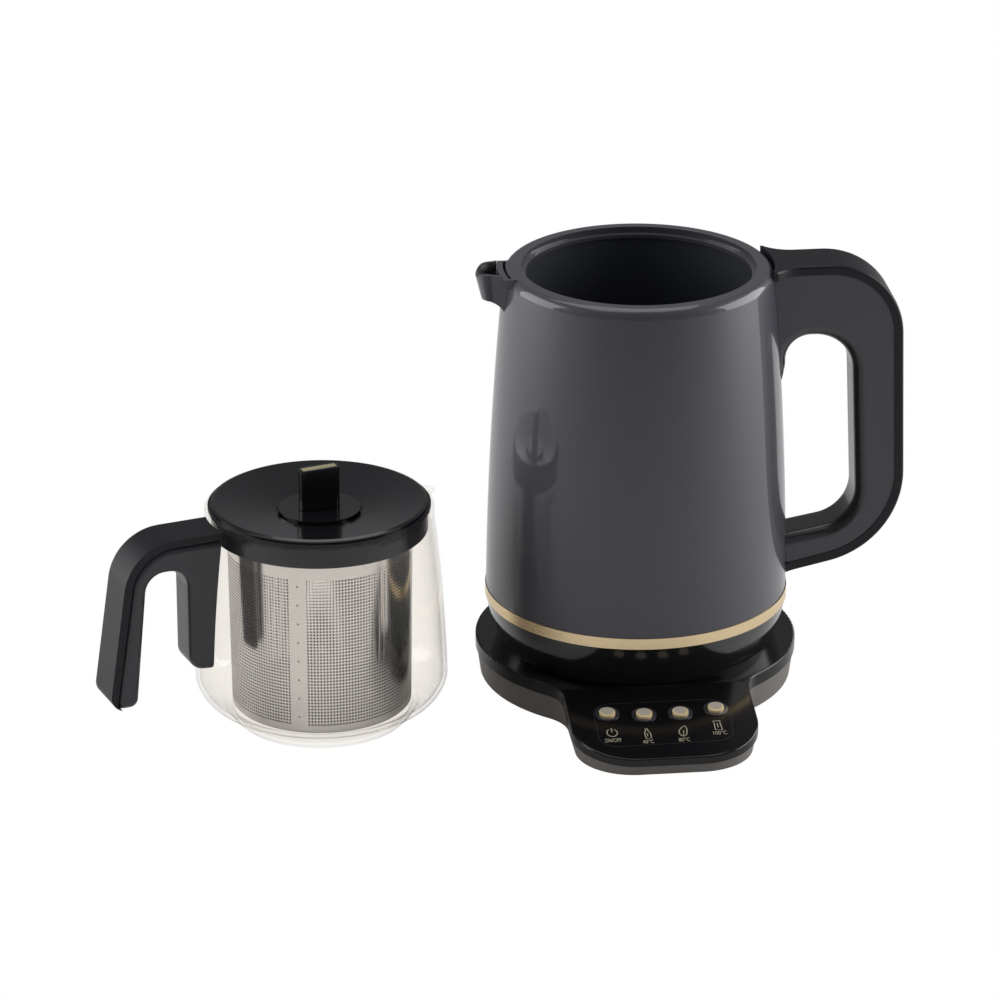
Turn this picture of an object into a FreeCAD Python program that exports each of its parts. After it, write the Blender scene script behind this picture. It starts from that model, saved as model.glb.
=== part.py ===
import FreeCAD, Part
import math
import os

import Sketcher
from FreeCAD import Placement, Rotation, Vector

# Electric kettle on a round base with a button console, and the glass teapot that stands beside it.
# Origin: on the table under the kettle's axis. +Z up, console towards -Y, kettle handle towards +X.

os.makedirs("parts", exist_ok=True)
doc = FreeCAD.newDocument("TeaMaker")
sheet = doc.addObject("Spreadsheet::Sheet", "Sizes")

# Driving dimensions, millimetres and degrees
SIZES = {
    "running_gap": 0.35,
    "flat_gap": 0.05,
    "pin_gap": 0.06,
    # Base
    "foot_radius": 6.0,
    "foot_height": 2.0,
    "foot_recess": 0.5,
    "base_radius": 85.6,
    "base_top": 23.0,
    "base_wall": 2.2,
    "casing_inset": 0.6,
    "casing_draft": 8.0,
    "casing_edge": 1.2,
    "lip_disc": 6.8,
    "console_half": 49.0,
    "console_front": 140.0,
    "console_corner": 33.0,
    "console_neck": 22.0,
    "slope_start": 74.0,
    "slope_drop": 11.2,
    "cover_edge": 1.0,
    "lip_front": 4.2,
    "well_radius": 73.0,
    "well_depth": 9.0,
    "screw_circle": 64.0,
    "screw_head_radius": 2.9,
    "screw_head_height": 1.8,
    "screw_shank_radius": 1.4,
    "boss_radius": 3.4,
    "cord_radius": 3.3,
    "cord_height": 10.0,
    # Connector
    "post_radius": 16.0,
    "post_top": 31.0,
    "post_flange": 20.5,
    "slot_depth": 9.0,
    "socket_wall": 2.0,
    "socket_flange": 24.0,
    # Buttons
    "button_pitch": 19.0,
    "button_row": 100.5,
    "outer_button_shift": 2.5,
    "button_radius": 4.2,
    "button_stand": 1.5,
    "bezel_radius": 6.5,
    "bezel_height": 3.2,
    "button_travel": 0.8,
    "board_depth": 9.5,
    "board_thickness": 1.6,
    "board_width": 72.0,
    "board_length": 22.0,
    "board_stand": 4.8,
    "switch_side": 6.0,
    "switch_height": 3.0,
    "plunger_radius": 1.7,
    # Kettle
    "kettle_rest": 14.3,
    "skirt_low_radius": 70.6,
    "skirt_mid_radius": 75.2,
    "skirt_mid_height": 29.0,
    "skirt_bend": 15.0,
    "band_low": 46.4,
    "band_height": 6.0,
    "band_stand": 0.4,
    "body_low_radius": 80.0,
    "body_top_radius": 72.0,
    "body_bulge": 2100.0,
    "body_wall": 2.4,
    "neck_height": 225.0,
    "neck_radius": 70.8,
    "rim_top": 230.0,
    "rim_flat_radius": 66.6,
    "rim_round": 5.5,
    "rim_step_radius": 61.4,
    "rim_step": 3.6,
    "mouth_radius": 59.1,
    "rim_depth": 5.6,
    "pot_wall": 1.0,
    "pot_top_radius": 62.0,
    "pot_low_radius": 71.0,
    "pot_floor": 47.0,
    "pot_round": 9.0,
    "plate_radius": 56.0,
    "plate_thickness": 3.0,
    "element_radius": 42.0,
    "element_tube": 3.6,
    "element_arc": 310.0,
    "sensor_radius": 4.0,
    "sensor_height": 9.0,
    # Kettle handle and spout
    "handle_width": 29.0,
    "handle_top": 230.6,
    "handle_reach": 137.6,
    "handle_flare": 4.6,
    "handle_low": 57.5,
    "handle_drop": 15.0,
    "handle_round": 40.0,
    "handle_low_round": 50.0,
    "strip_thickness": 5.0,
    "strip_root": 21.5,
    "grip_top": 191.0,
    "grip_reach": 112.0,
    "grip_flare": 4.6,
    "grip_low": 77.5,
    "grip_drop": 8.5,
    "grip_round": 21.0,
    "grip_edge": 6.0,
    "grip_root_round": 13.0,
    "strip_edge": 1.6,
    "spout_reach": 86.6,
    "spout_nose": 12.0,
    "spout_half": 17.5,
    "spout_low": 215.5,
    "spout_top": 231.2,
    "spout_tip_drop": 7.0,
    "spout_draft": 14.0,
    "spout_under": 6.0,
    "spout_wall": 1.6,
    "liner_wall": 1.0,
    "slot_width": 1.4,
    "bridge_width": 3.2,
    # Teapot
    "teapot_x": -171.7,
    "teapot_y": -37.3,
    "teapot_turn": 17.3,
    "glass_wall": 2.2,
    "glass_foot": 44.4,
    "glass_low_radius": 66.2,
    "glass_low_height": 24.0,
    "glass_low_round": 15.0,
    "glass_step_radius": 54.5,
    "glass_step_height": 10.0,
    "glass_foot_height": 8.6,
    "glass_side_round": 900.0,
    "glass_top_radius": 59.4,
    "glass_top": 117.6,
    "glass_spout": 6.0,
    "pot_handle_width": 24.0,
    "pot_handle_top": 117.0,
    "pot_handle_reach": 109.0,
    "pot_handle_flare": 13.5,
    "pot_handle_low": 27.0,
    "pot_leg_round": 8.0,
    "pot_handle_round": 28.0,
    "pot_leg_reach": 77.0,
    "pot_leg_low": 42.0,
    "pot_gap_reach": 99.0,
    "pot_gap_flare": 7.0,
    "pot_gap_top": 99.0,
    "pot_gap_round": 11.0,
    "pot_strip": 4.0,
    "pot_gap_edge": 4.0,
    # Infuser and lid
    "collar_radius": 56.4,
    "collar_wall": 1.8,
    "collar_height": 11.5,
    "collar_flange": 1.6,
    "basket_radius": 48.4,
    "basket_low_radius": 47.1,
    "basket_low": 9.5,
    "basket_wall": 0.8,
    "lid_radius": 56.4,
    "lid_rise": 121.6,
    "lid_dish": 6.2,
    "lid_wall": 2.0,
    "lid_skirt": 53.6,
    "lid_skirt_depth": 8.0,
    "knob_base_radius": 21.5,
    "knob_base_height": 2.0,
    "knob_length": 22.0,
    "knob_thickness": 7.5,
    "knob_height": 24.0,
    "knob_round": 3.2,
    "inlay_depth": 1.2,
    "inlay_margin": 1.6,
}
for row, (alias, number) in enumerate(SIZES.items(), start=1):
    sheet.set("A%d" % row, alias)
    sheet.set("B%d" % row, str(number))
    sheet.setAlias("B%d" % row, alias)
doc.recompute()


class Size:
    """A number together with the expression over the sheet that gives it."""

    def __init__(self, value, text):
        self.value = float(value)
        self.text = text

    def join(self, other, sign, result):
        text = other.text if isinstance(other, Size) else repr(float(other))
        return Size(result, "(%s %s %s)" % (self.text, sign, text))

    def __add__(self, other):
        return self.join(other, "+", self.value + number_of(other))

    def __sub__(self, other):
        return self.join(other, "-", self.value - number_of(other))

    def __mul__(self, other):
        return self.join(other, "*", self.value * number_of(other))

    def __truediv__(self, other):
        return self.join(other, "/", self.value / number_of(other))

    def __neg__(self):
        return Size(-self.value, "(0 - %s)" % self.text)

    def __float__(self):
        return self.value


def number_of(item):
    return item.value if isinstance(item, Size) else float(item)


def size(alias):
    return Size(sheet.get(alias), "Sizes.%s" % alias)


def plain(item):
    return item if isinstance(item, Size) else Size(item, repr(float(item)))


def tangent(alias):
    """The tangent of an angle of the sheet."""
    return Size(math.tan(math.radians(sheet.get(alias))), "tan(Sizes.%s * 1 deg)" % alias)


ZERO = plain(0)


# Sketches and features
def new_body(name):
    body = doc.addObject("PartDesign::Body", name)
    body.Label = name
    return body


def plane_of(body, role):
    for item in body.Origin.OriginFeatures:
        if item.Role == role:
            return item
    raise ValueError(role)


def arc_between(first, last, radius):
    """The short arc from first to last, turning left where the radius is positive."""
    chord = last - first
    reach = math.sqrt(max(radius * radius - chord.Length * chord.Length / 4.0, 0.0))
    side = Vector(-chord.y, chord.x, 0).normalize()
    centre = (first + last) * 0.5 + side * (reach if radius > 0 else -reach)
    start, end = (first, last) if radius > 0 else (last, first)
    low = math.atan2(start.y - centre.y, start.x - centre.x)
    high = math.atan2(end.y - centre.y, end.x - centre.x)
    circle = Part.Circle(centre, Vector(0, 0, 1), abs(radius))
    return Part.ArcOfCircle(circle, low, high)


def profile(body, name, role, corners):
    """A closed outline: corners are (x, y) or (x, y, radius of the arc to the next corner)."""
    sketch = body.newObject("Sketcher::SketchObject", name)
    sketch.AttachmentSupport = (plane_of(body, role), [""])
    sketch.MapMode = "FlatFace"
    count = len(corners)
    spots = [Vector(number_of(item[0]), number_of(item[1]), 0) for item in corners]
    ends = []
    for index, item in enumerate(corners):
        first, last = spots[index], spots[(index + 1) % count]
        if len(item) > 2:
            radius = number_of(item[2])
            edge = sketch.addGeometry(arc_between(first, last, radius), False)
            ends.append((edge, 1, 2) if radius > 0 else (edge, 2, 1))
        else:
            edge = sketch.addGeometry(Part.LineSegment(first, last), False)
            ends.append((edge, 1, 2))
    for index in range(count):
        here, after = ends[index], ends[(index + 1) % count]
        joint = Sketcher.Constraint("Coincident", here[0], here[2], after[0], after[1])
        sketch.addConstraint(joint)
    for index, item in enumerate(corners):
        edge, start = ends[index][0], ends[index][1]
        for kind, entry in (("DistanceX", item[0]), ("DistanceY", item[1])):
            entry = plain(entry)
            mark = sketch.addConstraint(Sketcher.Constraint(kind, edge, start, entry.value))
            sketch.setExpression("Constraints[%d]" % mark, entry.text)
        if len(item) > 2:
            bend = item[2] if number_of(item[2]) > 0 else -item[2]
            mark = sketch.addConstraint(Sketcher.Constraint("Radius", edge, bend.value))
            sketch.setExpression("Constraints[%d]" % mark, bend.text)
    return sketch


def disc_sketch(body, name, role, radius, x=ZERO, y=ZERO):
    sketch = body.newObject("Sketcher::SketchObject", name)
    sketch.AttachmentSupport = (plane_of(body, role), [""])
    sketch.MapMode = "FlatFace"
    centre = Vector(number_of(x), number_of(y), 0)
    edge = sketch.addGeometry(Part.Circle(centre, Vector(0, 0, 1), number_of(radius)), False)
    for kind, entry in (("DistanceX", x), ("DistanceY", y)):
        entry = plain(entry)
        mark = sketch.addConstraint(Sketcher.Constraint(kind, edge, 3, entry.value))
        sketch.setExpression("Constraints[%d]" % mark, entry.text)
    entry = plain(radius)
    mark = sketch.addConstraint(Sketcher.Constraint("Radius", edge, entry.value))
    sketch.setExpression("Constraints[%d]" % mark, entry.text)
    return sketch


def raise_by(sketch, height):
    """Lifts a sketch along its plane's normal."""
    sketch.setExpression(".AttachmentOffset.Base.z", plain(height).text)


def pad(body, sketch, length, middle=False, taper=None):
    feature = body.newObject("PartDesign::Pad", sketch.Name + "_pad")
    feature.Profile = sketch
    feature.Length = number_of(length)
    feature.setExpression("Length", plain(length).text)
    feature.Midplane = middle
    if taper is not None:
        feature.TaperAngle = number_of(taper)
        feature.setExpression("TaperAngle", plain(taper).text)
    return feature


def revolve(name, corners):
    """A turned piece from its half section, r and z."""
    body = new_body(name)
    sketch = profile(body, name + "_section", "XZ_Plane", corners)
    feature = body.newObject("PartDesign::Revolution", name + "_turned")
    feature.Profile = sketch
    feature.ReferenceAxis = (sketch, ["V_Axis"])
    feature.Angle = 360.0
    return body


def round_edges(body, feature, radius, chooser, kind="PartDesign::Fillet"):
    """Rounds or bevels the edges of a feature that the chooser picks."""
    doc.recompute()
    names = []
    for index, edge in enumerate(feature.Shape.Edges, start=1):
        if chooser(edge):
            names.append("Edge%d" % index)
    if not names:
        raise ValueError("no edge found on " + feature.Name)
    rounding = body.newObject(kind, feature.Name + "_edge")
    rounding.Base = (feature, names)
    target = "Radius" if kind.endswith("Fillet") else "Size"
    setattr(rounding, target, number_of(radius))
    rounding.setExpression(target, plain(radius).text)
    return rounding


def upright(edge):
    """True for an edge that runs from bottom to top."""
    ends = edge.Vertexes
    if len(ends) != 2:
        return False
    run = ends[1].Point - ends[0].Point
    return abs(run.z) > 0.9 * run.Length


def centre_of(edge):
    return edge.valueAt((edge.FirstParameter + edge.LastParameter) / 2.0)


def cylinder(name, radius, height, place=None):
    shape = doc.addObject("Part::Cylinder", name)
    shape.setExpression("Radius", plain(radius).text)
    shape.setExpression("Height", plain(height).text)
    if place is not None:
        shape.Placement = place
    return shape


def block(name, length, width, height, place=None):
    shape = doc.addObject("Part::Box", name)
    shape.setExpression("Length", plain(length).text)
    shape.setExpression("Width", plain(width).text)
    shape.setExpression("Height", plain(height).text)
    if place is not None:
        shape.Placement = place
    return shape


def combine(kind, name, shapes):
    result = doc.addObject("Part::" + kind, name)
    if kind in ("MultiFuse", "MultiCommon"):
        result.Shapes = shapes
    else:
        result.Base, result.Tool = shapes
    return result


def fuse(name, shapes):
    return combine("MultiFuse", name, shapes)


def cut(name, base, tools):
    tool = tools[0] if len(tools) == 1 else fuse(name + "_tools", tools)
    return combine("Cut", name, (base, tool))


def common(name, shapes):
    return combine("MultiCommon", name, shapes)


def at(x=0.0, y=0.0, z=0.0, axis=Vector(0, 0, 1), angle=0.0):
    spot = Vector(number_of(x), number_of(y), number_of(z))
    return Placement(spot, Rotation(axis, number_of(angle)))


def turned_on_z(radius, count, first=0.0, height=0.0):
    """Places on a circle round the origin."""
    spots = []
    for index in range(count):
        angle = math.radians(first + 360.0 * index / count)
        x = number_of(radius) * math.cos(angle)
        y = number_of(radius) * math.sin(angle)
        spots.append(at(x, y, height))
    return spots


pieces = []


def piece(shape, name):
    """Marks a finished piece: its label names its file."""
    shape.Label = name
    pieces.append(shape)
    return shape


gap = size("running_gap")
flat_gap = size("flat_gap")
pin_gap = size("pin_gap")

# Base outline: a disc with a console in front, joined by hollow corners
radius = size("base_radius")
half = size("console_half")
front = size("console_front")
wall = size("base_wall")
top = size("base_top")
casing_low = size("foot_height") - size("foot_recess")
lip_low = top - size("lip_disc")
front_top = top - size("slope_drop")
front_lip = front_top - size("lip_front")


def base_block(name, inset, low, high, taper=None):
    """The base's outline, drawn in by inset, between two heights."""
    body = new_body(name)
    disc = disc_sketch(body, name + "_disc", "XY_Plane", radius - inset)
    raise_by(disc, low)
    pad(body, disc, high - low, taper=taper)
    side = half - inset
    nose = front - inset
    corners = [(-side, -nose), (side, -nose), (side, ZERO), (-side, ZERO)]
    console = profile(body, name + "_console", "XY_Plane", corners)
    raise_by(console, low)
    joined = pad(body, console, high - low, taper=taper)
    reach = number_of(nose) - 4.0
    corner = size("console_corner") - inset
    joined = round_edges(
        body, joined, corner, lambda edge: upright(edge) and centre_of(edge).y < -reach
    )
    neck = size("console_neck") + inset

    def at_neck(edge):
        spot = centre_of(edge)
        return upright(edge) and -reach < spot.y < -20.0 and abs(spot.x) < number_of(side) + 4.0

    round_edges(body, joined, neck, at_neck)
    return body


def side_slab(name, low, high, low_front, high_front, reach):
    """The side view of the base between two heights, which drop towards the front."""
    body = new_body(name)
    start = size("slope_start")
    corners = [
        (-reach, low_front),
        (-start, low),
        (reach, low),
        (reach, high),
        (-start, high),
        (-reach, high_front),
    ]
    sketch = profile(body, name + "_side", "YZ_Plane", corners)
    pad(body, sketch, radius * 4, middle=True)
    return body


slope = math.degrees(math.atan2(number_of(size("slope_drop")), number_of(front - size("slope_start"))))
slope_ratio = size("slope_drop") / (front - size("slope_start"))


def slab_heights(level, level_front, reach):
    """Heights at the slab's ends so that the slope passes through the console's front."""
    drop = (level - level_front) / (front - size("slope_start"))
    return level - drop * (reach - size("slope_start"))


slab_reach = front + 20
cover_block = base_block("cover_block", ZERO, ZERO, top + 5)
cover_slab = side_slab(
    "cover_slab",
    lip_low,
    top,
    slab_heights(lip_low, front_lip, slab_reach),
    slab_heights(top, front_top, slab_reach),
    slab_reach,
)
cover_solid = common("cover_solid", [cover_block, cover_slab])
void_block = base_block("cover_void_block", wall, ZERO, top + 5)
void_slab = side_slab(
    "cover_void_slab",
    lip_low - 4,
    top - wall,
    slab_heights(lip_low - 4, front_lip - 4, slab_reach),
    slab_heights(top - wall, front_top - wall, slab_reach),
    slab_reach,
)
cover_void = common("cover_void", [void_block, void_slab])
doc.recompute()
cover_round = doc.addObject("Part::Fillet", "cover_round")
cover_round.Base = cover_solid
edge_list = []
for index, edge in enumerate(cover_solid.Shape.Edges, start=1):
    spot = centre_of(edge)
    rise = max(0.0, -spot.y - number_of(size("slope_start"))) * number_of(slope_ratio)
    on_top = abs(spot.z - (number_of(top) - rise)) < 0.5
    crease = abs(spot.y + number_of(size("slope_start"))) < 0.01 and abs(spot.x) < 1.0
    if on_top and not crease:
        edge_list.append((index, number_of(size("cover_edge")), number_of(size("cover_edge"))))
cover_round.Edges = edge_list

# The well in the cover's top that the kettle stands in
well_floor = top - size("well_depth")
well = revolve(
    "well",
    [
        (size("post_radius") + gap, well_floor - wall),
        (size("well_radius") + wall, well_floor - wall),
        (size("well_radius") + wall, top - 0.6),
        (size("well_radius"), top - 0.6),
        (size("well_radius") - 1.5, well_floor),
        (size("post_radius") + gap, well_floor),
    ],
)
well_hole = cylinder("well_hole", size("well_radius"), size("well_depth"))
well_hole.setExpression(".Placement.Base.z", (well_floor).text)

# Button places on the sloping console
pitch = size("button_pitch")
button_row = size("button_row")
BUTTONS = [
    ("button_power", -1.5),
    ("button_40", -0.5),
    ("button_80", 0.5),
    ("button_100", 1.5),
]
console_normal = Rotation(Vector(1, 0, 0), slope)


def button_spot(step):
    """Where a button's axis leaves the console: x, y and z."""
    x = pitch * step
    back = size("outer_button_shift") if abs(step) > 1 else ZERO
    y = -(button_row - back)
    z = top - slope_ratio * (button_row - back - size("slope_start"))
    return x, y, z


def on_console(step, depth):
    """A place on a button's axis, depth below the console's face."""
    x, y, z = button_spot(step)
    start = Vector(number_of(x), number_of(y), number_of(z))
    return Placement(start - console_normal.multVec(Vector(0, 0, number_of(depth))), console_normal)


bezel_holes = []
for name, step in BUTTONS:
    hole = cylinder(name + "_hole", size("bezel_radius") + flat_gap, wall * 4)
    hole.Placement = on_console(step, wall * 2)
    bezel_holes.append(hole)

# Screws hold the cover to the casing from below
SCREW_ANGLES = [35.0, 145.0, 215.0, 325.0]
screw_z = casing_low + wall
boss_split = casing_low + 6.0


def screw_place(angle, height):
    turn = math.radians(angle)
    reach = number_of(size("screw_circle")) + 13.0
    return at(reach * math.cos(turn), reach * math.sin(turn), height)


cover_bosses = []
casing_bosses = []
screws = []
screw_wells = []
screw_holes = []
for index, angle in enumerate(SCREW_ANGLES):
    tag = "_%d" % index
    rise = cylinder("cover_boss" + tag, size("boss_radius"), top - wall - boss_split)
    rise.Placement = screw_place(angle, boss_split)
    cover_bosses.append(rise)
    post = cylinder("casing_boss" + tag, size("boss_radius") + 0.8, boss_split - flat_gap - casing_low)
    post.Placement = screw_place(angle, casing_low)
    casing_bosses.append(post)
    pilot = cylinder("pilot" + tag, size("screw_shank_radius") + pin_gap, plain(13.0))
    pilot.Placement = screw_place(angle, casing_low)
    screw_holes.append(pilot)
    sink = cylinder("sink" + tag, size("screw_head_radius") + 0.3, size("screw_head_height") + 0.7)
    sink.Placement = screw_place(angle, casing_low - 0.2)
    screw_wells.append(sink)
    head = cylinder("head" + tag, size("screw_head_radius"), size("screw_head_height"))
    head.Placement = screw_place(angle, casing_low + 0.5)
    shank = cylinder("shank" + tag, size("screw_shank_radius"), plain(11.0))
    shank.Placement = screw_place(angle, casing_low + 1.0)
    screws.append(fuse("screw" + tag, [head, shank]))

cover_open = cut("cover_open", cover_round, [cover_void, well_hole])
cover_full = fuse("cover_full", [cover_open, well] + cover_bosses)
cover = cut("cover", cover_full, bezel_holes + screw_holes)
piece(cover, "base_top_cover")

# Lower casing with a drafted wall
casing_drop = lip_low - casing_low
draft_run = casing_drop * tangent("casing_draft")
casing_block = base_block(
    "casing_block",
    size("casing_inset") + draft_run,
    casing_low,
    lip_low + 3,
    taper=size("casing_draft"),
)
casing_slab = side_slab(
    "casing_slab",
    ZERO,
    lip_low - flat_gap,
    ZERO,
    slab_heights(lip_low - flat_gap, front_lip - flat_gap, slab_reach),
    slab_reach,
)
casing_solid = common("casing_solid", [casing_block, casing_slab])
doc.recompute()
casing_round = doc.addObject("Part::Fillet", "casing_round")
casing_round.Base = casing_solid
edge_list = []
for index, edge in enumerate(casing_solid.Shape.Edges, start=1):
    if abs(centre_of(edge).z - number_of(casing_low)) < 0.01 and edge.BoundBox.ZLength < 0.01:
        edge_list.append((index, number_of(size("casing_edge")), number_of(size("casing_edge"))))
casing_round.Edges = edge_list
casing_void = base_block(
    "casing_void",
    size("casing_inset") + draft_run + wall,
    casing_low + wall,
    lip_low + 5,
    taper=size("casing_draft"),
)
FOOT_SPOTS = [(50.0, 50.0), (-50.0, 50.0), (30.0, -115.0), (-30.0, -115.0), (0.0, 0.0)]
feet = []
foot_wells = []
for index, (x, y) in enumerate(FOOT_SPOTS):
    pad_foot = cylinder("foot_%d" % index, size("foot_radius"), size("foot_height"))
    pad_foot.Placement = at(x, y, 0.0)
    feet.append(pad_foot)
    seat = cylinder("foot_seat_%d" % index, size("foot_radius") + 0.2, size("foot_recess"))
    seat.Placement = at(x, y, casing_low)
    foot_wells.append(seat)
cord_height = size("cord_height")
cord_bore = cylinder("cord_bore", size("cord_radius") + 1.7 + flat_gap, plain(12.0))
cord_bore.Placement = at(0, radius - 8, cord_height, Vector(1, 0, 0), -90)
board_stands = []
for index, step in enumerate((-1.5, 0.0, 1.5)):
    stand = cylinder("stand_%d" % index, plain(2.5), size("board_stand"))
    under_board = size("board_depth") + size("board_thickness") + flat_gap
    stand.Placement = on_console(step, under_board + size("board_stand"))
    board_stands.append(stand)
casing_hollow = cut("casing_hollow", casing_round, [casing_void])
casing_bossed = fuse("casing_bossed", [casing_hollow] + casing_bosses + board_stands)
casing = cut(
    "casing", casing_bossed, screw_holes + screw_wells + foot_wells + [cord_bore]
)
piece(casing, "base_lower_casing")
piece(fuse("feet", feet), "base_feet")
piece(fuse("screws", screws), "base_screws")

# Cord gland in the back wall: the lead itself isn't part of this model
gland_body = cylinder("gland_body", size("cord_radius") + 1.7, plain(9.0))
gland_body.Placement = at(0, radius - 7.5, cord_height, Vector(1, 0, 0), -90)
gland_collar = cylinder("gland_collar", size("cord_radius") + 2.6, plain(1.6))
gland_collar.Placement = at(0, radius - 7.5, cord_height, Vector(1, 0, 0), -90)
gland_bore = cylinder("gland_bore", size("cord_radius"), plain(16.0))
gland_bore.Placement = at(0, radius - 9, cord_height, Vector(1, 0, 0), -90)
gland_whole = fuse("gland_whole", [gland_body, gland_collar])
piece(cut("gland", gland_whole, [gland_bore]), "cord_gland")

# Connector post: ring slots take the kettle's contact rings
post_top = size("post_top")
post_radius = size("post_radius")
slot_floor = post_top - size("slot_depth")
post_low = casing_low + wall + flat_gap
post = revolve(
    "post",
    [
        (plain(2.2), post_low + 3),
        (plain(2.2), post_top),
        (plain(5.2), post_top),
        (plain(5.2), slot_floor),
        (plain(7.4), slot_floor),
        (plain(7.4), post_top),
        (plain(10.4), post_top),
        (plain(10.4), slot_floor),
        (plain(12.6), slot_floor),
        (plain(12.6), post_top),
        (post_radius - 1.0, post_top),
        (post_radius, post_top - 1.5),
        (post_radius, well_floor - wall - flat_gap),
        (size("post_flange"), well_floor - wall - flat_gap),
        (size("post_flange"), post_low),
        (plain(14.0), post_low),
        (plain(14.0), post_low + 3),
    ],
)
piece(post, "connector_post")
contact_blades = []
for index, (inner, angle) in enumerate([(5.25, 90.0), (10.45, 90.0), (5.25, 270.0), (10.45, 270.0)]):
    blade = block("blade_%d" % index, plain(0.4), plain(2.0), plain(6.0))
    lean = Rotation(Vector(0, 0, 1), angle)
    blade.Placement = Placement(lean.multVec(Vector(inner, -1.0, 0)), lean)
    blade.setExpression(".Placement.Base.z", (slot_floor + flat_gap).text)
    contact_blades.append(blade)
centre_pin = cylinder("centre_pin", plain(2.1), plain(6.0))
centre_pin.Placement = at(0, 0, post_low + 3.1)
piece(fuse("contacts", contact_blades + [centre_pin]), "connector_contacts")

# Control board, switches, light rings and buttons
board = block("board", size("board_width"), size("board_length"), size("board_thickness"))
board_origin = on_console(0.0, size("board_depth"))
corner_shift = Vector(
    -number_of(size("board_width")) / 2,
    -number_of(size("board_length")) / 2 + 1.2,
    -number_of(size("board_thickness")),
)
board.Placement = Placement(
    board_origin.Base + console_normal.multVec(corner_shift), console_normal
)
switches = []
for name, step in BUTTONS:
    side = size("switch_side")
    shell = block(name + "_switch", side, side, size("switch_height"))
    middle = console_normal.multVec(Vector(-number_of(side) / 2, -number_of(side) / 2, 0))
    seat = on_console(step, size("board_depth") - flat_gap)
    shell.Placement = Placement(seat.Base + middle, console_normal)
    tip = cylinder(name + "_plunger", size("plunger_radius"), size("switch_height") + 0.6)
    tip.Placement = seat
    switches.append(fuse(name + "_tact", [shell, tip]))
piece(board, "control_board")
piece(fuse("switch_group", switches), "tact_switches")
bezels = []
for name, step in BUTTONS:
    ring = cylinder(name + "_ring", size("bezel_radius"), size("bezel_height"))
    ring.Placement = on_console(step, size("bezel_height") - 0.4)
    bore = cylinder(name + "_bore", size("button_radius") + gap, size("bezel_height") * 2)
    bore.Placement = on_console(step, size("bezel_height"))
    bezels.append(cut(name + "_bezel", ring, [bore]))
piece(fuse("bezel_group", bezels), "button_bezels")
stem_end = size("board_depth") - flat_gap - size("switch_height") - 0.6 - size("button_travel") - 0.1
for name, step in BUTTONS:
    cap = cylinder(name + "_cap", size("button_radius"), size("bezel_height") + size("button_stand") + 0.6)
    cap.Placement = on_console(step, size("bezel_height") + 0.6)
    collar = cylinder(name + "_collar", size("button_radius") + 1.4, plain(0.8))
    collar.Placement = on_console(step, size("bezel_height") + 0.6)
    stem_length = stem_end - size("bezel_height") + 0.4
    stem = cylinder(name + "_stem", plain(1.6), stem_length)
    stem.Placement = on_console(step, stem_end)
    piece(fuse(name + "_whole", [cap, collar, stem]), name)

# Kettle outer jacket
body_low = size("band_low") + size("band_height")
low_radius = size("body_low_radius")
top_radius = size("body_top_radius")
neck_height = size("neck_height")
neck_radius = size("neck_radius")
jacket_wall = size("body_wall")
bulge = size("body_bulge")
jacket = revolve(
    "jacket",
    [
        (low_radius - jacket_wall, body_low + flat_gap),
        (low_radius, body_low + flat_gap, bulge),
        (neck_radius, neck_height),
        (neck_radius - jacket_wall, neck_height, -bulge),
    ],
)
jacket_core = revolve(
    "jacket_core",
    [
        (ZERO, body_low - 30),
        (low_radius + flat_gap, body_low - 30),
        (low_radius + flat_gap, body_low, bulge),
        (neck_radius + flat_gap, neck_height),
        (neck_radius + flat_gap, neck_height + 30),
        (ZERO, neck_height + 30),
    ],
)

# Rim ring with the slot behind the spout
rim_top = size("rim_top")
rim = revolve(
    "rim",
    [
        (size("mouth_radius"), rim_top - size("rim_depth")),
        (size("mouth_radius") + 1.6, rim_top - size("rim_depth")),
        (size("mouth_radius") + 1.6, rim_top - size("rim_step") - 1.4),
        (neck_radius - jacket_wall, neck_height + flat_gap),
        (neck_radius, neck_height + flat_gap, size("rim_round")),
        (size("rim_flat_radius"), rim_top),
        (size("rim_step_radius"), rim_top),
        (size("rim_step_radius"), rim_top - size("rim_step") + 0.4),
        (size("mouth_radius"), rim_top - size("rim_step")),
    ],
)
slot_inner = size("rim_flat_radius") + 3.0
slot_outer = slot_inner + size("slot_width")
bridge_outer = slot_outer + size("bridge_width")
bridge = revolve(
    "bridge_ring",
    [
        (size("rim_flat_radius") - 1, rim_top - 5.0),
        (bridge_outer, rim_top - 5.0),
        (bridge_outer, rim_top),
        (size("rim_flat_radius") - 1, rim_top),
    ],
)
bridge_span = block("bridge_span", plain(40), size("spout_half") * 2 - 4.0, plain(30))
bridge_span.setExpression(".Placement.Base.x", (-bridge_outer - 10).text)
bridge_span.setExpression(".Placement.Base.y", (-(size("spout_half") - 2.0)).text)
bridge_span.setExpression(".Placement.Base.z", (rim_top - 10).text)
bridge_tab = common("bridge_tab", [bridge, bridge_span])
slot_ring = revolve(
    "slot_ring",
    [
        (slot_inner, rim_top - 4.0),
        (slot_outer, rim_top - 4.0),
        (slot_outer, rim_top + 2),
        (slot_inner, rim_top + 2),
    ],
)
slot_span = block("slot_span", plain(40), size("spout_half") * 2 - 8.0, plain(30))
slot_span.setExpression(".Placement.Base.x", (-bridge_outer - 10).text)
slot_span.setExpression(".Placement.Base.y", (-(size("spout_half") - 4.0)).text)
slot_span.setExpression(".Placement.Base.z", (rim_top - 10).text)
slot_cut = common("slot_cut", [slot_ring, slot_span])
rim_joined = fuse("rim_joined", [rim, bridge_tab])
rim_ring = cut("rim_ring_cut", rim_joined, [slot_cut])
piece(rim_ring, "rim_ring")


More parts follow.
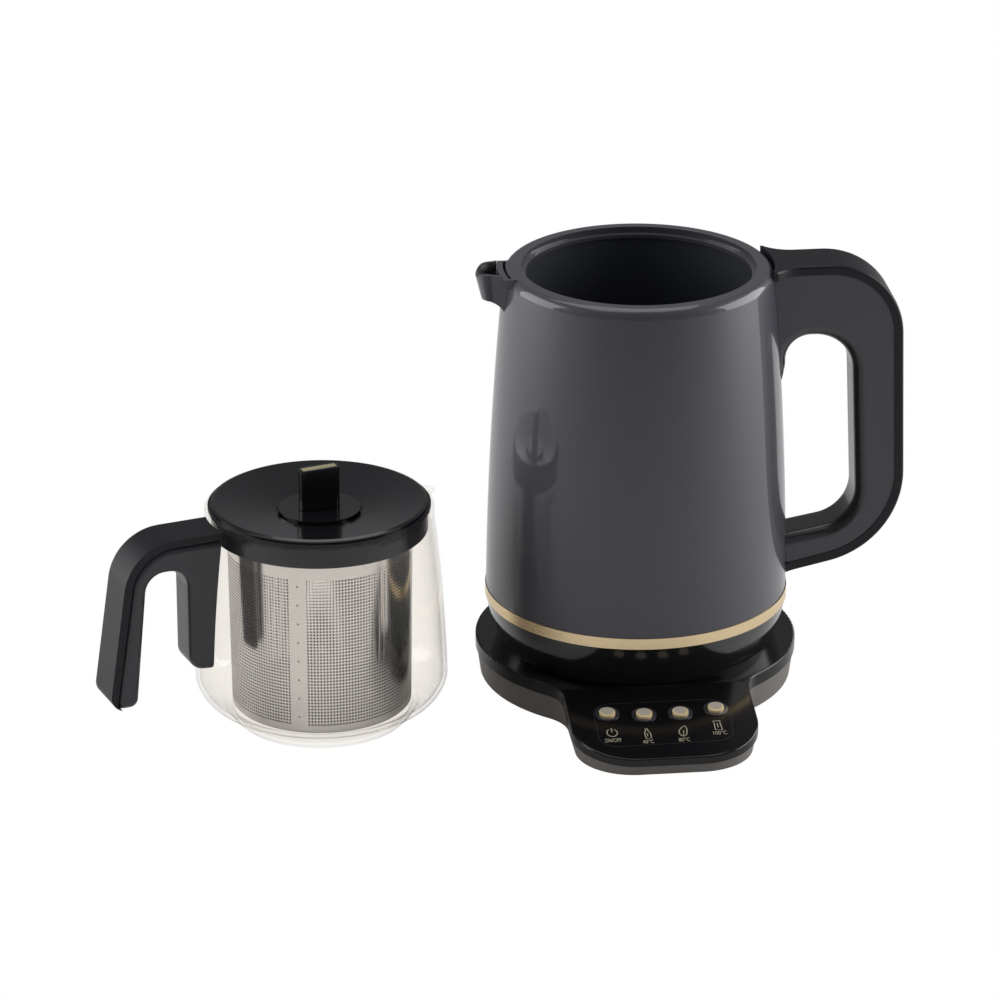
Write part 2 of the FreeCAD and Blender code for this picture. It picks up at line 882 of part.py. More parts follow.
# Spout: the plan outline, wider towards its top, meets the side view
def spout_solid(name, inset, low, tip_low, open_top):
    body = new_body(name)
    lean = (size("spout_top") - low) * tangent("spout_draft")
    nose = size("spout_nose") - inset - lean
    tip = size("spout_reach") - inset
    spread = size("spout_half") - inset - lean
    back = neck_radius - 12
    middle = tip - lean - nose
    corners = [
        (-back, -spread),
        (-back, spread),
        (-middle, nose, nose),
        (-(middle + nose), ZERO, nose),
        (-middle, -nose),
    ]
    sketch = profile(body, name + "_plan", "XY_Plane", corners)
    raise_by(sketch, low)
    pad(body, sketch, size("spout_top") + 5 - low, taper=size("spout_draft"))
    side = new_body(name + "_side")
    edge = size("spout_tip_drop")
    top_end = [(-(tip - edge), size("spout_top"), edge), (-tip - 0.01, size("spout_top") - edge)]
    if open_top:
        top_end = [(-tip - 4, size("spout_top") + 4)]
    level = size("spout_top") + (4 if open_top else 0)
    front = -tip - (4 if open_top else 0.01)
    outline = [(-back + 5, low), (-back + 5, level)] + top_end
    outline += [
        (front, tip_low),
        (-(tip - 8), tip_low, size("spout_nose") * -1),
        (-(tip - 15), low),
    ]
    view = profile(side, name + "_view", "XZ_Plane", outline)
    pad(side, view, size("spout_half") * 4, middle=True)
    return common(name + "_solid", [body, side])


spout_low = size("spout_low")
spout_base = spout_low - size("spout_under")
spout_wall = size("spout_wall")
liner_wall = size("liner_wall")
spout_outer = spout_solid("spout_outer", ZERO, spout_base, spout_low, False)
liner_outer = spout_solid("liner_outer", spout_wall, spout_base + spout_wall, spout_low + spout_wall, True)
channel = spout_solid(
    "channel",
    spout_wall + liner_wall,
    spout_base + spout_wall + liner_wall,
    spout_low + spout_wall + liner_wall,
    True,
)
jacket_spout = combine("Cut", "jacket_with_mouth", (jacket, liner_outer))
piece(jacket_spout, "kettle_body_shell")
rim_clear = revolve(
    "rim_clear",
    [
        (ZERO, neck_height - 0.5),
        (bridge_outer + flat_gap, neck_height - 0.5),
        (bridge_outer + flat_gap, size("spout_top") + 8),
        (ZERO, size("spout_top") + 8),
    ],
)
piece(cut("spout_cut", spout_outer, [jacket_core, rim_clear, liner_outer]), "spout_shell")
liner_solid = common("liner_solid", [liner_outer, spout_outer])
piece(cut("liner_cut", liner_solid, [jacket_core, rim_clear, channel]), "spout_liner")

# Gold band and black skirt below the jacket
band_low = size("band_low")
piece(
    revolve(
        "band",
        [
            (low_radius - jacket_wall, band_low + flat_gap),
            (low_radius + size("band_stand"), band_low + flat_gap),
            (low_radius + size("band_stand"), body_low - flat_gap),
            (low_radius - jacket_wall, body_low - flat_gap),
        ],
    ),
    "gold_band",
)
rest = size("kettle_rest")
skirt_mid = size("skirt_mid_radius")
skirt_height = size("skirt_mid_height")
skirt_low = size("skirt_low_radius")
skirt = revolve(
    "skirt",
    [
        (low_radius - jacket_wall, band_low),
        (skirt_mid - jacket_wall, skirt_height, -size("skirt_bend") * 2),
        (skirt_low - jacket_wall, rest + 5),
        (skirt_low - jacket_wall - 0.6, rest),
        (skirt_low - 0.6, rest),
        (skirt_low, rest + 5, size("skirt_bend") * 2),
        (skirt_mid, skirt_height, size("skirt_bend") * 5),
        (low_radius, band_low),
    ],
)
piece(skirt, "kettle_skirt")

# Inner pot, heater and sensor
pot_floor = size("pot_floor")
pot_wall = size("pot_wall")
pot_low = size("pot_low_radius")
pot_top = size("pot_top_radius")
pot_round = size("pot_round")
mouth_low = rim_top - size("rim_depth") - flat_gap
pot = revolve(
    "pot",
    [
        (ZERO, pot_floor),
        (pot_low - pot_round, pot_floor, pot_round),
        (pot_low, pot_floor + pot_round),
        (pot_top, mouth_low - 6),
        (pot_top - 0.5, mouth_low - 1.0),
        (neck_radius - jacket_wall - 0.4, mouth_low - 1.0),
        (neck_radius - jacket_wall - 0.4, mouth_low),
        (pot_top - 0.5 - pot_wall, mouth_low),
        (pot_top - pot_wall, mouth_low - 6),
        (pot_low - pot_wall, pot_floor + pot_round, -(pot_round - pot_wall)),
        (pot_low - pot_round, pot_floor + pot_wall),
        (ZERO, pot_floor + pot_wall),
    ],
)
sensor_hole = cylinder("sensor_hole", size("sensor_radius") + pin_gap, plain(20))
sensor_hole.setExpression(".Placement.Base.z", (pot_floor - 10).text)
piece(cut("pot_cut", pot, [sensor_hole]), "inner_pot")
plate = cylinder("plate", size("plate_radius"), size("plate_thickness"))
plate.setExpression(".Placement.Base.z", (pot_floor - flat_gap - size("plate_thickness")).text)
piece(cut("plate_cut", plate, [sensor_hole]), "heating_plate")
element = doc.addObject("Part::Torus", "element")
element.setExpression("Radius1", size("element_radius").text)
element.setExpression("Radius2", size("element_tube").text)
element.setExpression("Angle3", size("element_arc").text)
plate_low = pot_floor - flat_gap - size("plate_thickness")
element.setExpression(".Placement.Base.z", (plate_low - size("element_tube") - flat_gap).text)
pins = []
for index, angle in enumerate((0.0, number_of(size("element_arc")))):
    turn = math.radians(angle)
    reach = number_of(size("element_radius"))
    terminal = cylinder("terminal_%d" % index, plain(1.6), plain(9.0))
    terminal.Placement = at(
        reach * math.cos(turn), reach * math.sin(turn), plate_low - size("element_tube") - 9.0
    )
    pins.append(terminal)
piece(fuse("element_group", [element] + pins), "heating_element")
sensor_body = cylinder("sensor_body", size("sensor_radius"), size("sensor_height") + 4.0)
sensor_body.setExpression(".Placement.Base.z", (plate_low - 3.5).text)
sensor_head = cylinder("sensor_head", size("sensor_radius") + 2.5, plain(3.0))
sensor_head.setExpression(".Placement.Base.z", (plate_low - 3.5).text)
piece(fuse("sensor_group", [sensor_body, sensor_head]), "temperature_sensor")

# Kettle bottom and the socket half of the connector
socket_radius = post_radius + gap
socket_out = socket_radius + size("socket_wall")
bottom_radius = skirt_low - jacket_wall - 0.2
bottom_low = rest + 1.5
bottom = revolve(
    "bottom",
    [
        (socket_out + gap, bottom_low),
        (bottom_radius - 1.0, bottom_low),
        (bottom_radius - 1.0, bottom_low + 2.2),
        (socket_out + gap + 2.0, bottom_low + 2.2),
        (socket_out + gap + 2.0, bottom_low + 8),
        (socket_out + gap, bottom_low + 8),
    ],
)
bottom_screws = []
bottom_holes = []
for index, place in enumerate(turned_on_z(50.0, 3, 30.0, number_of(bottom_low))):
    head = cylinder("bottom_head_%d" % index, plain(2.9), plain(1.6))
    head.Placement = at(place.Base.x, place.Base.y, bottom_low - 0.8)
    shank = cylinder("bottom_shank_%d" % index, plain(1.4), plain(8.0))
    shank.Placement = at(place.Base.x, place.Base.y, bottom_low - 0.4)
    bottom_screws.append(fuse("bottom_screw_%d" % index, [head, shank]))
    sink = cylinder("bottom_sink_%d" % index, plain(3.1), plain(1.8))
    sink.Placement = at(place.Base.x, place.Base.y, bottom_low - 0.9)
    hole = cylinder("bottom_hole_%d" % index, plain(1.46), plain(9.0))
    hole.Placement = at(place.Base.x, place.Base.y, bottom_low - 1)
    bottom_holes += [sink, hole]
bottom_bosses = []
for index, place in enumerate(turned_on_z(50.0, 3, 30.0, 0.0)):
    boss = cylinder("bottom_boss_%d" % index, plain(3.6), plain(9.0))
    boss.Placement = at(place.Base.x, place.Base.y, bottom_low)
    bottom_bosses.append(boss)
bottom_full = fuse("bottom_full", [bottom] + bottom_bosses)
piece(cut("bottom_cut", bottom_full, bottom_holes), "kettle_bottom_cover")
piece(fuse("bottom_screw_group", bottom_screws), "kettle_bottom_screws")
socket_top = post_top + 3.0
socket = revolve(
    "socket",
    [
        (ZERO, socket_top),
        (ZERO, post_top - 5.0),
        (plain(1.9), post_top - 5.0),
        (plain(1.9), post_top + gap),
        (plain(5.8), post_top + gap),
        (plain(5.8), slot_floor + 3.0),
        (plain(6.8), slot_floor + 3.0),
        (plain(6.8), post_top + gap),
        (plain(11.0), post_top + gap),
        (plain(11.0), slot_floor + 3.0),
        (plain(12.0), slot_floor + 3.0),
        (plain(12.0), post_top + gap),
        (socket_radius, post_top + gap),
        (socket_radius, well_floor + 2.0),
        (socket_out, well_floor + 2.0),
        (socket_out, bottom_low + 8 + gap),
        (size("socket_flange"), bottom_low + 8 + gap),
        (size("socket_flange"), socket_top),
    ],
)
piece(socket, "kettle_connector")

# Kettle handle: grey shell with a black strip along its back
handle_width = size("handle_width")


def loop_outline(inset):
    """The handle's outer line in side view, drawn in by inset."""
    return [
        (top_radius - 14, size("handle_top") - inset),
        (size("handle_reach") - inset, size("handle_top") - inset),
        (size("handle_reach") + size("handle_flare") - inset, size("handle_low") + size("handle_drop") + inset),
        (top_radius - 4, size("handle_low") - 1.6 + inset),
    ]


def handle_block(name, inset, width):
    body = new_body(name)
    sketch = profile(body, name + "_outer", "XZ_Plane", loop_outline(inset))
    feature = pad(body, sketch, width, middle=True)
    high = number_of(size("handle_top") - inset)
    reach = number_of(size("handle_reach"))

    def across(edge):
        box = edge.BoundBox
        return box.YLength > number_of(width) * 0.9 and box.XLength < 0.1 and box.ZLength < 0.1

    feature = round_edges(
        body,
        feature,
        size("handle_round") - inset,
        lambda edge: across(edge) and centre_of(edge).x > reach - 20 and centre_of(edge).z > high - 5,
    )
    feature = round_edges(
        body,
        feature,
        size("handle_low_round") - inset,
        lambda edge: across(edge) and centre_of(edge).x > reach - 20 and centre_of(edge).z < 120,
    )
    return body, feature


def grip_hole(name, width):
    """The finger opening in side view."""
    body = new_body(name)
    root_round = size("grip_root_round")
    root_reach = top_radius + 5
    corners = [
        (root_reach + root_round, size("grip_top")),
        (size("grip_reach"), size("grip_top")),
        (size("grip_reach") + size("grip_flare"), size("grip_low") + size("grip_drop")),
        (top_radius - 20, size("grip_low") - 3.5),
        (top_radius - 20, size("grip_top") - root_round * 3),
        (top_radius, size("grip_top") - root_round * 2.4),
        (root_reach, size("grip_top") - root_round, -root_round),
    ]
    sketch = profile(body, name + "_outline", "XZ_Plane", corners)
    feature = pad(body, sketch, width, middle=True)

    def far_corner(edge):
        box = edge.BoundBox
        along = box.YLength > number_of(width) * 0.9 and box.XLength < 0.1 and box.ZLength < 0.1
        return along and centre_of(edge).x > number_of(size("grip_reach")) - 10

    round_edges(body, feature, size("grip_round"), far_corner)
    return body


strip_outer, strip_feature = handle_block("strip_outer", ZERO, size("strip_root") * 2)
strip_inner, inner_feature = handle_block("strip_inner", size("strip_thickness"), size("strip_root") * 2 + 4)
shell_outer, shell_feature = handle_block("shell_outer", size("strip_thickness") + flat_gap, handle_width - 1.0)
hole_body = grip_hole("grip_hole", handle_width * 2)
shell_holed = cut("shell_holed", shell_outer, [hole_body])
doc.recompute()
shell_round = doc.addObject("Part::Fillet", "shell_round")
shell_round.Base = shell_holed
edge_list = []
side_y = number_of(handle_width - 1.0) / 2
for index, edge in enumerate(shell_holed.Shape.Edges, start=1):
    spot = centre_of(edge)
    flat_side = edge.BoundBox.YLength < 0.01 and abs(abs(spot.y) - side_y) < 0.01
    inner_x = number_of(size("grip_reach")) + 6.0
    inside = spot.x < inner_x and number_of(size("grip_low")) - 6 < spot.z < number_of(size("grip_top")) + 1
    if flat_side and inside and spot.x > 80.0:
        edge_list.append((index, number_of(size("grip_edge")), number_of(size("grip_edge"))))
shell_round.Edges = edge_list
piece(cut("handle_shell_cut", shell_round, [jacket_core]), "handle_shell")

# The strip widens where it meets the rim
strip_band = cut("strip_band", strip_outer, [strip_inner])
strip_plan = new_body("strip_plan")
root = size("strip_root")
slim = handle_width / 2
flare_end = top_radius + 12
plan_corners = [
    (top_radius - 16, -root),
    (top_radius - 2, -root, -(size("handle_round") * 0.45)),
    (flare_end, -slim),
    (size("handle_reach") + 30, -slim),
    (size("handle_reach") + 30, slim),
    (flare_end, slim, -(size("handle_round") * 0.45)),
    (top_radius - 2, root),
    (top_radius - 16, root),
]
plan_sketch = profile(strip_plan, "strip_plan_outline", "XY_Plane", plan_corners)
pad(strip_plan, plan_sketch, rim_top + 60)
strip_shaped = common("strip_shaped", [strip_band, strip_plan])
rim_core = revolve(
    "rim_core",
    [
        (ZERO, neck_height - 1),
        (neck_radius + flat_gap, neck_height - 1),
        (neck_radius + flat_gap, neck_height + flat_gap, size("rim_round")),
        (size("rim_flat_radius") + flat_gap + 1.2, rim_top),
        (size("rim_flat_radius") + flat_gap + 1.2, rim_top + 10),
        (ZERO, rim_top + 10),
    ],
)
strip_seated = cut("strip_seated", strip_shaped, [jacket_core, rim_core])
doc.recompute()
strip_soft = doc.addObject("Part::Fillet", "strip_soft")
strip_soft.Base = strip_seated
edge_list = []
for index, edge in enumerate(strip_seated.Shape.Edges, start=1):
    spot = centre_of(edge)
    on_side = edge.BoundBox.YLength < 0.01 and abs(abs(spot.y) - number_of(slim)) < 0.01
    if on_side and strip_inner.Shape.distToShape(Part.Vertex(spot))[0] > 3.0:
        edge_list.append((index, number_of(size("strip_edge")), number_of(size("strip_edge"))))
strip_soft.Edges = edge_list
piece(strip_soft, "handle_strip")


# Teapot
def stand_teapot(shape):
    shape.Placement = Placement(
        Vector(number_of(size("teapot_x")), number_of(size("teapot_y")), 0),
        Rotation(Vector(0, 0, 1), number_of(size("teapot_turn"))),
    )
    shape.setExpression(".Placement.Base.x", "Sizes.teapot_x")
    shape.setExpression(".Placement.Base.y", "Sizes.teapot_y")
    return shape


glass = size("glass_wall")
foot = size("glass_foot")
glass_low = size("glass_low_radius")
low_height = size("glass_low_height")
glass_top = size("glass_top")
glass_rim = size("glass_top_radius")
low_round = size("glass_low_round")
side_round = size("glass_side_round")
step_radius = size("glass_step_radius")
step_height = size("glass_step_height")
foot_height = size("glass_foot_height")
jar_outside = [
    (foot + 3.0, foot_height * 0.35, foot_height * 2.5),
    (step_radius - 3.5, foot_height, -(foot_height * 0.5)),
    (step_radius, step_height, low_round * 1.25),
    (glass_low, low_height, side_round),
    (glass_rim, glass_top - 2),
    (glass_rim + 0.5, glass_top),
]
jar = revolve(
    "jar",
    [(ZERO, plain(1.2)), (foot - 6, plain(1.2)), (foot - 3, ZERO), (foot, ZERO)]
    + jar_outside
    + [
        (glass_rim - glass, glass_top),
        (glass_rim - glass, glass_top - 2, -side_round),
        (glass_low - glass, low_height, -(low_round * 1.25 - glass)),
        (step_radius - glass * 0.3, step_height + glass),
        (step_radius - 3.5 - glass * 0.8, foot_height + glass * 0.6),
        (foot + 1.0, glass + 1.2),
        (ZERO, glass + 1.2),
    ],
)
lip_cone = doc.addObject("Part::Cone", "lip_cone")
lip_cone.setExpression("Radius1", "0.5")
lip_cone.setExpression("Radius2", size("glass_spout").text)
lip_cone.setExpression("Height", "16")
lip_place = Placement(
    Vector(number_of(glass_rim) - 5.5, 0, number_of(glass_top) - 13.0), Rotation(Vector(0, 1, 0), 20)
)
lip_cone.Placement = lip_place
lip_void = doc.addObject("Part::Cone", "lip_void")
lip_void.setExpression("Radius1", "0.2")
lip_void.setExpression("Radius2", (size("glass_spout") - glass * 0.8).text)
lip_void.setExpression("Height", "18")
lip_void.Placement = lip_place
jar_void = revolve(
    "jar_void",
    [
        (ZERO, glass_top - 20),
        (glass_rim - glass, glass_top - 20),
        (glass_rim - glass, glass_top + 10),
        (ZERO, glass_top + 10),
    ],
)
lip_top = block("lip_top", plain(60), plain(60), plain(20), at(30, -30, glass_top))
jar_lipped = fuse("jar_lipped", [jar, lip_cone])
stand_jar = cut("jar_cut", jar_lipped, [lip_void, jar_void, lip_top])
piece(stand_teapot(stand_jar), "glass_jar")
jar_core = revolve(
    "jar_core",
    [
        (ZERO, low_height),
        (glass_low + flat_gap, low_height, side_round),
        (glass_rim + flat_gap, glass_top - 2),
        (glass_rim + 0.5 + flat_gap, glass_top),
        (glass_rim + 0.5 + flat_gap, glass_top + 20),
        (ZERO, glass_top + 20),
    ],
)


# Teapot handle: an open hook whose inner leg lies along the glass
def hook(name, inset, width):
    body = new_body(name)
    flare = size("pot_handle_flare")
    corners = [
        (-(glass_rim - 10), size("pot_handle_top") - inset),
        (-(size("pot_handle_reach") - inset), size("pot_handle_top") - inset),
        (-(size("pot_handle_reach") + flare - inset), size("pot_handle_low")),
        (-(size("pot_gap_reach") + size("pot_gap_flare")), size("pot_handle_low")),
        (-size("pot_gap_reach"), size("pot_gap_top")),
        (-size("pot_leg_reach"), size("pot_gap_top")),
        (-size("pot_leg_reach"), size("pot_leg_low")),
        (-(glass_rim - 10), size("pot_leg_low") - 2.0),
    ]
    sketch = profile(body, name + "_side", "XZ_Plane", corners)
    feature = pad(body, sketch, width, middle=True)

    def along(edge):
        box = edge.BoundBox
        return box.YLength > number_of(width) * 0.9 and box.XLength < 0.1 and box.ZLength < 0.1

    def near(edge, x, z):
        spot = centre_of(edge)
        return along(edge) and abs(spot.x - number_of(x)) < 2 and abs(spot.z - number_of(z)) < 2

    feature = round_edges(
        body,
        feature,
        size("pot_handle_round") - inset,
        lambda edge: near(edge, corners[1][0], corners[1][1]),
    )
    feature = round_edges(
        body,
        feature,
        size("pot_gap_round") - 0.6,
        lambda edge: near(edge, corners[4][0], corners[4][1]) or near(edge, corners[5][0], corners[5][1]),
    )
    feature = round_edges(
        body, feature, size("pot_leg_round"), lambda edge: near(edge, corners[6][0], corners[6][1])
    )
    feature = round_edges(
        body, feature, size("pot_leg_round") - inset, lambda edge: near(edge, corners[2][0], corners[2][1])
    )
    return round_edges(
        body, feature, size("pot_leg_round") * 0.6, lambda edge: near(edge, corners[3][0], corners[3][1])
    )


hook_width = size("pot_handle_width")
hook_whole = hook("hook_whole", ZERO, hook_width)
hook_core = hook("hook_core", size("pot_strip"), hook_width + 4)
hook_shell = hook("hook_shell", size("pot_strip") + flat_gap, hook_width - 1.0)
doc.recompute()
hook_shell_body = hook_shell.getParentGeoFeatureGroup()
hook_whole_body = hook_whole.getParentGeoFeatureGroup()
hook_core_body = hook_core.getParentGeoFeatureGroup()
hook_soft = doc.addObject("Part::Fillet", "hook_soft")
hook_soft.Base = hook_shell_body
edge_list = []
hook_side = number_of(hook_width - 1.0) / 2
for index, edge in enumerate(hook_shell_body.Shape.Edges, start=1):
    spot = centre_of(edge)
    on_side = edge.BoundBox.YLength < 0.01 and abs(abs(spot.y) - hook_side) < 0.01
    in_gap = -number_of(size("pot_gap_reach")) - 8.0 < spot.x < -number_of(size("pot_leg_reach")) + 0.5
    if on_side and in_gap and number_of(size("pot_handle_low")) + 1 < spot.z < number_of(size("pot_gap_top")) + 1:
        edge_list.append((index, number_of(size("pot_gap_edge")), number_of(size("pot_gap_edge"))))
hook_soft.Edges = edge_list
hook_cut = cut("hook_cut", hook_soft, [jar_core])
piece(stand_teapot(hook_cut), "teapot_handle_shell")
hook_band = cut("hook_band", hook_whole_body, [hook_core_body, jar_core])
piece(stand_teapot(hook_band), "teapot_handle_strip")

# Infuser: plastic collar hung on the glass rim, steel basket below it
collar_radius = size("collar_radius")
collar_wall = size("collar_wall")
collar_low = glass_top - size("collar_height")
collar = revolve(
    "collar",
    [
        (size("basket_radius") + flat_gap, collar_low),
        (collar_radius, collar_low),
        (collar_radius, glass_top + gap),
        (glass_rim - 1.4, glass_top + gap),
        (glass_rim - 1.4, glass_top + gap + size("collar_flange")),
        (collar_radius - collar_wall, glass_top + gap + size("collar_flange")),
        (collar_radius - collar_wall, collar_low + 2),
        (size("basket_radius") + flat_gap, collar_low + 2),
    ],
)
piece(stand_teapot(collar), "infuser_collar")
basket_radius = size("basket_radius")
basket_foot = size("basket_low_radius")
basket_low = size("basket_low")
basket_wall = size("basket_wall")
basket = revolve(
    "basket",
    [
        (ZERO, basket_low),
        (basket_foot, basket_low),
        (basket_radius, collar_low - flat_gap),
        (basket_radius, collar_low + 4),
        (basket_radius - basket_wall, collar_low + 4),
        (basket_radius - basket_wall, collar_low),
        (basket_foot - basket_wall, basket_low + basket_wall),
        (ZERO, basket_low + basket_wall),
    ],
)
piece(stand_teapot(basket), "infuser_basket")

# Lid, knob and inlay
lid_radius = size("lid_radius")
lid_low = glass_top + gap + size("collar_flange") + flat_gap
lid_rise = size("lid_rise")
lid_floor = lid_rise - size("lid_dish")
knob_radius = size("knob_base_radius")
lid_wall = size("lid_wall")
lid = revolve(
    "lid",
    [
        (ZERO, lid_floor - 0.6 - lid_wall),
        (knob_radius + 1.0, lid_floor - 0.6 - lid_wall),
        (size("lid_skirt") - 1.6, lid_low - 0.2),
        (size("lid_skirt") - 1.6, lid_low - size("lid_skirt_depth")),
        (size("lid_skirt"), lid_low - size("lid_skirt_depth")),
        (size("lid_skirt"), lid_low),
        (lid_radius, lid_low),
        (lid_radius, lid_rise - 0.6),
        (lid_radius - 1.6, lid_rise),
        (knob_radius + 1.0, lid_floor + 0.4),
        (knob_radius + 1.0, lid_floor - 0.6),
        (ZERO, lid_floor - 0.6),
    ],
)
piece(stand_teapot(lid), "teapot_lid")
knob_base = revolve(
    "knob_base",
    [
        (ZERO, lid_floor - 0.6 + flat_gap),
        (knob_radius - 2.0, lid_floor - 0.6 + flat_gap),
        (knob_radius - 2.0, lid_floor + 0.8),
        (knob_radius, lid_floor + 0.8),
        (knob_radius, lid_floor + size("knob_base_height")),
        (ZERO, lid_floor + size("knob_base_height") - 0.4),
    ],
)
knob_low = lid_floor + size("knob_base_height") + flat_gap
piece(stand_teapot(knob_base), "lid_knob_base")
knob_top = lid_floor + size("knob_height")
tab = new_body("tab")
long_half = size("knob_length") / 2
thin_half = size("knob_thickness") / 2
tab_corners = [
    (-long_half, -thin_half),
    (long_half, -thin_half),
    (long_half, thin_half),
    (-long_half, thin_half),
]
tab_sketch = profile(tab, "tab_plan", "XY_Plane", tab_corners)
raise_by(tab_sketch, knob_low)
tab_pad = pad(tab, tab_sketch, knob_top - knob_low)
tab_round = round_edges(tab, tab_pad, size("knob_round"), upright)
inlay_length = size("knob_length") - size("inlay_margin") * 2
inlay_width = size("knob_thickness") - size("inlay_margin") * 2
groove = block("groove", inlay_length, inlay_width, size("inlay_depth") + 1)
groove.setExpression(".Placement.Base.x", (-inlay_length / 2).text)
groove.setExpression(".Placement.Base.y", (-inlay_width / 2).text)
groove.setExpression(".Placement.Base.z", (knob_top - size("inlay_depth")).text)
piece(stand_teapot(cut("tab_cut", tab, [groove])), "lid_knob")
inlay = block("inlay", inlay_length - flat_gap * 2, inlay_width - flat_gap * 2, size("inlay_depth"))
inlay.setExpression(".Placement.Base.x", (-(inlay_length / 2) + flat_gap).text)
inlay.setExpression(".Placement.Base.y", (-(inlay_width / 2) + flat_gap).text)
inlay.setExpression(".Placement.Base.z", (knob_top - size("inlay_depth") + flat_gap).text)
inlay_group = common("inlay_group", [inlay, tab])
piece(stand_teapot(inlay_group), "knob_inlay")

# Build, test and write
doc.recompute()
faults = []
for item in doc.Objects:
    if "Invalid" in item.State or "Error" in item.State:
        faults.append("%s: %s" % (item.Name, item.State))
for item in pieces:
    if item.Shape.isNull() or not item.Shape.isValid():
        faults.append("%s has no valid shape" % item.Label)
if faults:
    raise RuntimeError("; ".join(faults))
for item in pieces:
    item.Shape.exportStep("parts/%s.step" % item.Label)
    print(item.Label, len(item.Shape.Solids), round(item.Shape.Volume, 1))
print("pieces", len(pieces))
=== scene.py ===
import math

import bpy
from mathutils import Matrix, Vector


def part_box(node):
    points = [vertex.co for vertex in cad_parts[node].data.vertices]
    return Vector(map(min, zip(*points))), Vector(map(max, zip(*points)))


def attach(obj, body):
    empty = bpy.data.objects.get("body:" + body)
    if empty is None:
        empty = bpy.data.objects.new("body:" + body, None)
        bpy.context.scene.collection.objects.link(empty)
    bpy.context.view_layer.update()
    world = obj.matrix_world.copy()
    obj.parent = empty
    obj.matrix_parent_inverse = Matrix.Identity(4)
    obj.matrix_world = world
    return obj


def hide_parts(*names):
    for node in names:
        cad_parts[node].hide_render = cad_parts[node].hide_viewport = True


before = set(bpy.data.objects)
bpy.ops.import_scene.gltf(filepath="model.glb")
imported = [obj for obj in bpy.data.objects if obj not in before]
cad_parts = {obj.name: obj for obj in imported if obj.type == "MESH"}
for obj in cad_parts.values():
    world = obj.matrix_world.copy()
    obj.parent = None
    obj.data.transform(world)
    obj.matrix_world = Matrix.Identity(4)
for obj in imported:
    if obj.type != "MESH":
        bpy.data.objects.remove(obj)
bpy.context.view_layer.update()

# %% [markdown]
# # A tea maker: kettle, base with buttons, and a glass teapot
#
# The solids come from the CAD frame and stay as they are. This script gives each of them a finish,
# makes the pieces that are too fine for solids (the perforated basket and the console's markings),
# and sets the camera and the lights as they are in the photograph.

MM = 0.001

# %% [markdown]
# ## Camera
#
# The viewpoint was worked out from the circles of the kettle's rim, band and foot. The rim's ellipse
# gives the angle of looking down, and the lens is long, as in most product photographs. A wide lens
# close by would also fit the rim, but then the base would look much larger than it does.

# %% Camera
LOOK_DOWN = 22.14
LOOK_RIGHT = 6.7
camera_data = bpy.data.cameras.new("photo_camera")
camera_data.sensor_width = 36.0
camera_data.lens = 182.63
camera = bpy.data.objects.new("photo_camera", camera_data)
bpy.context.scene.collection.objects.link(camera)
camera.location = (-0.3630, -2.4695, 1.113)
camera.rotation_euler = (math.radians(90.0 - LOOK_DOWN), 0.0, math.radians(-LOOK_RIGHT))
bpy.context.scene.camera = camera
print("camera at", tuple(camera.location))

# %% [markdown]
# ## Shared surface effects
#
# Two node groups carry the detail that nearly every surface needs. `Fine grain` gives a mould texture:
# small bumps and slow changes of roughness and tone, as a handled product has. `Brushed lines` gives
# the streaks of brushed or spun metal, long in one direction and very narrow in the other. Groups keep
# the detail in one place, and each material only chooses its strength.


# %% Node helpers
def group_socket(tree, name, kind, output=False, value=None):
    """A named input or output of a node group, with its first value."""
    side = "OUTPUT" if output else "INPUT"
    socket = tree.interface.new_socket(name=name, in_out=side, socket_type=kind)
    if value is not None:
        socket.default_value = value


def node(tree, kind, **settings):
    """A new node whose settings are given by name."""
    made = tree.nodes.new(kind)
    for key, value in settings.items():
        setattr(made, key, value)
    return made


def math_node(tree, operation, first, second=None):
    """A maths node; numbers are set on the socket and sockets are linked to it."""
    made = node(tree, "ShaderNodeMath", operation=operation)
    for slot, item in enumerate((first, second)):
        if item is None:
            continue
        if isinstance(item, (int, float)):
            made.inputs[slot].default_value = item
        else:
            tree.links.new(item, made.inputs[slot])
    return made.outputs[0]


# %% Group: fine grain
grain = bpy.data.node_groups.new("Fine grain", "ShaderNodeTree")
group_socket(grain, "Scale", "NodeSocketFloat", value=900.0)
group_socket(grain, "Roughness", "NodeSocketFloat", value=0.35)
group_socket(grain, "Spread", "NodeSocketFloat", value=0.06)
group_socket(grain, "Bump", "NodeSocketFloat", value=0.1)
group_socket(grain, "Roughness", "NodeSocketFloat", output=True)
group_socket(grain, "Tone", "NodeSocketFloat", output=True)
group_socket(grain, "Normal", "NodeSocketVector", output=True)
grain_in = node(grain, "NodeGroupInput")
grain_out = node(grain, "NodeGroupOutput")
grain_place = node(grain, "ShaderNodeTexCoord")
grain_fine = node(grain, "ShaderNodeTexNoise")
grain_fine.inputs["Detail"].default_value = 3.0
grain_slow = node(grain, "ShaderNodeTexNoise")
grain_slow.inputs["Scale"].default_value = 22.0
grain_slow.inputs["Detail"].default_value = 4.0
grain.links.new(grain_place.outputs["Object"], grain_fine.inputs["Vector"])
grain.links.new(grain_place.outputs["Object"], grain_slow.inputs["Vector"])
grain.links.new(grain_in.outputs["Scale"], grain_fine.inputs["Scale"])
grain_swing = math_node(grain, "SUBTRACT", grain_slow.outputs[0], 0.5)
grain_swing = math_node(grain, "MULTIPLY", grain_swing, grain_in.outputs["Spread"])
grain_rough = math_node(grain, "ADD", grain_swing, grain_in.outputs["Roughness"])
grain.links.new(grain_rough, grain_out.inputs["Roughness"])
grain.links.new(grain_slow.outputs[0], grain_out.inputs["Tone"])
grain_bump = node(grain, "ShaderNodeBump")
grain_bump.inputs["Distance"].default_value = 0.00003
grain.links.new(grain_in.outputs["Bump"], grain_bump.inputs["Strength"])
grain.links.new(grain_fine.outputs[0], grain_bump.inputs["Height"])
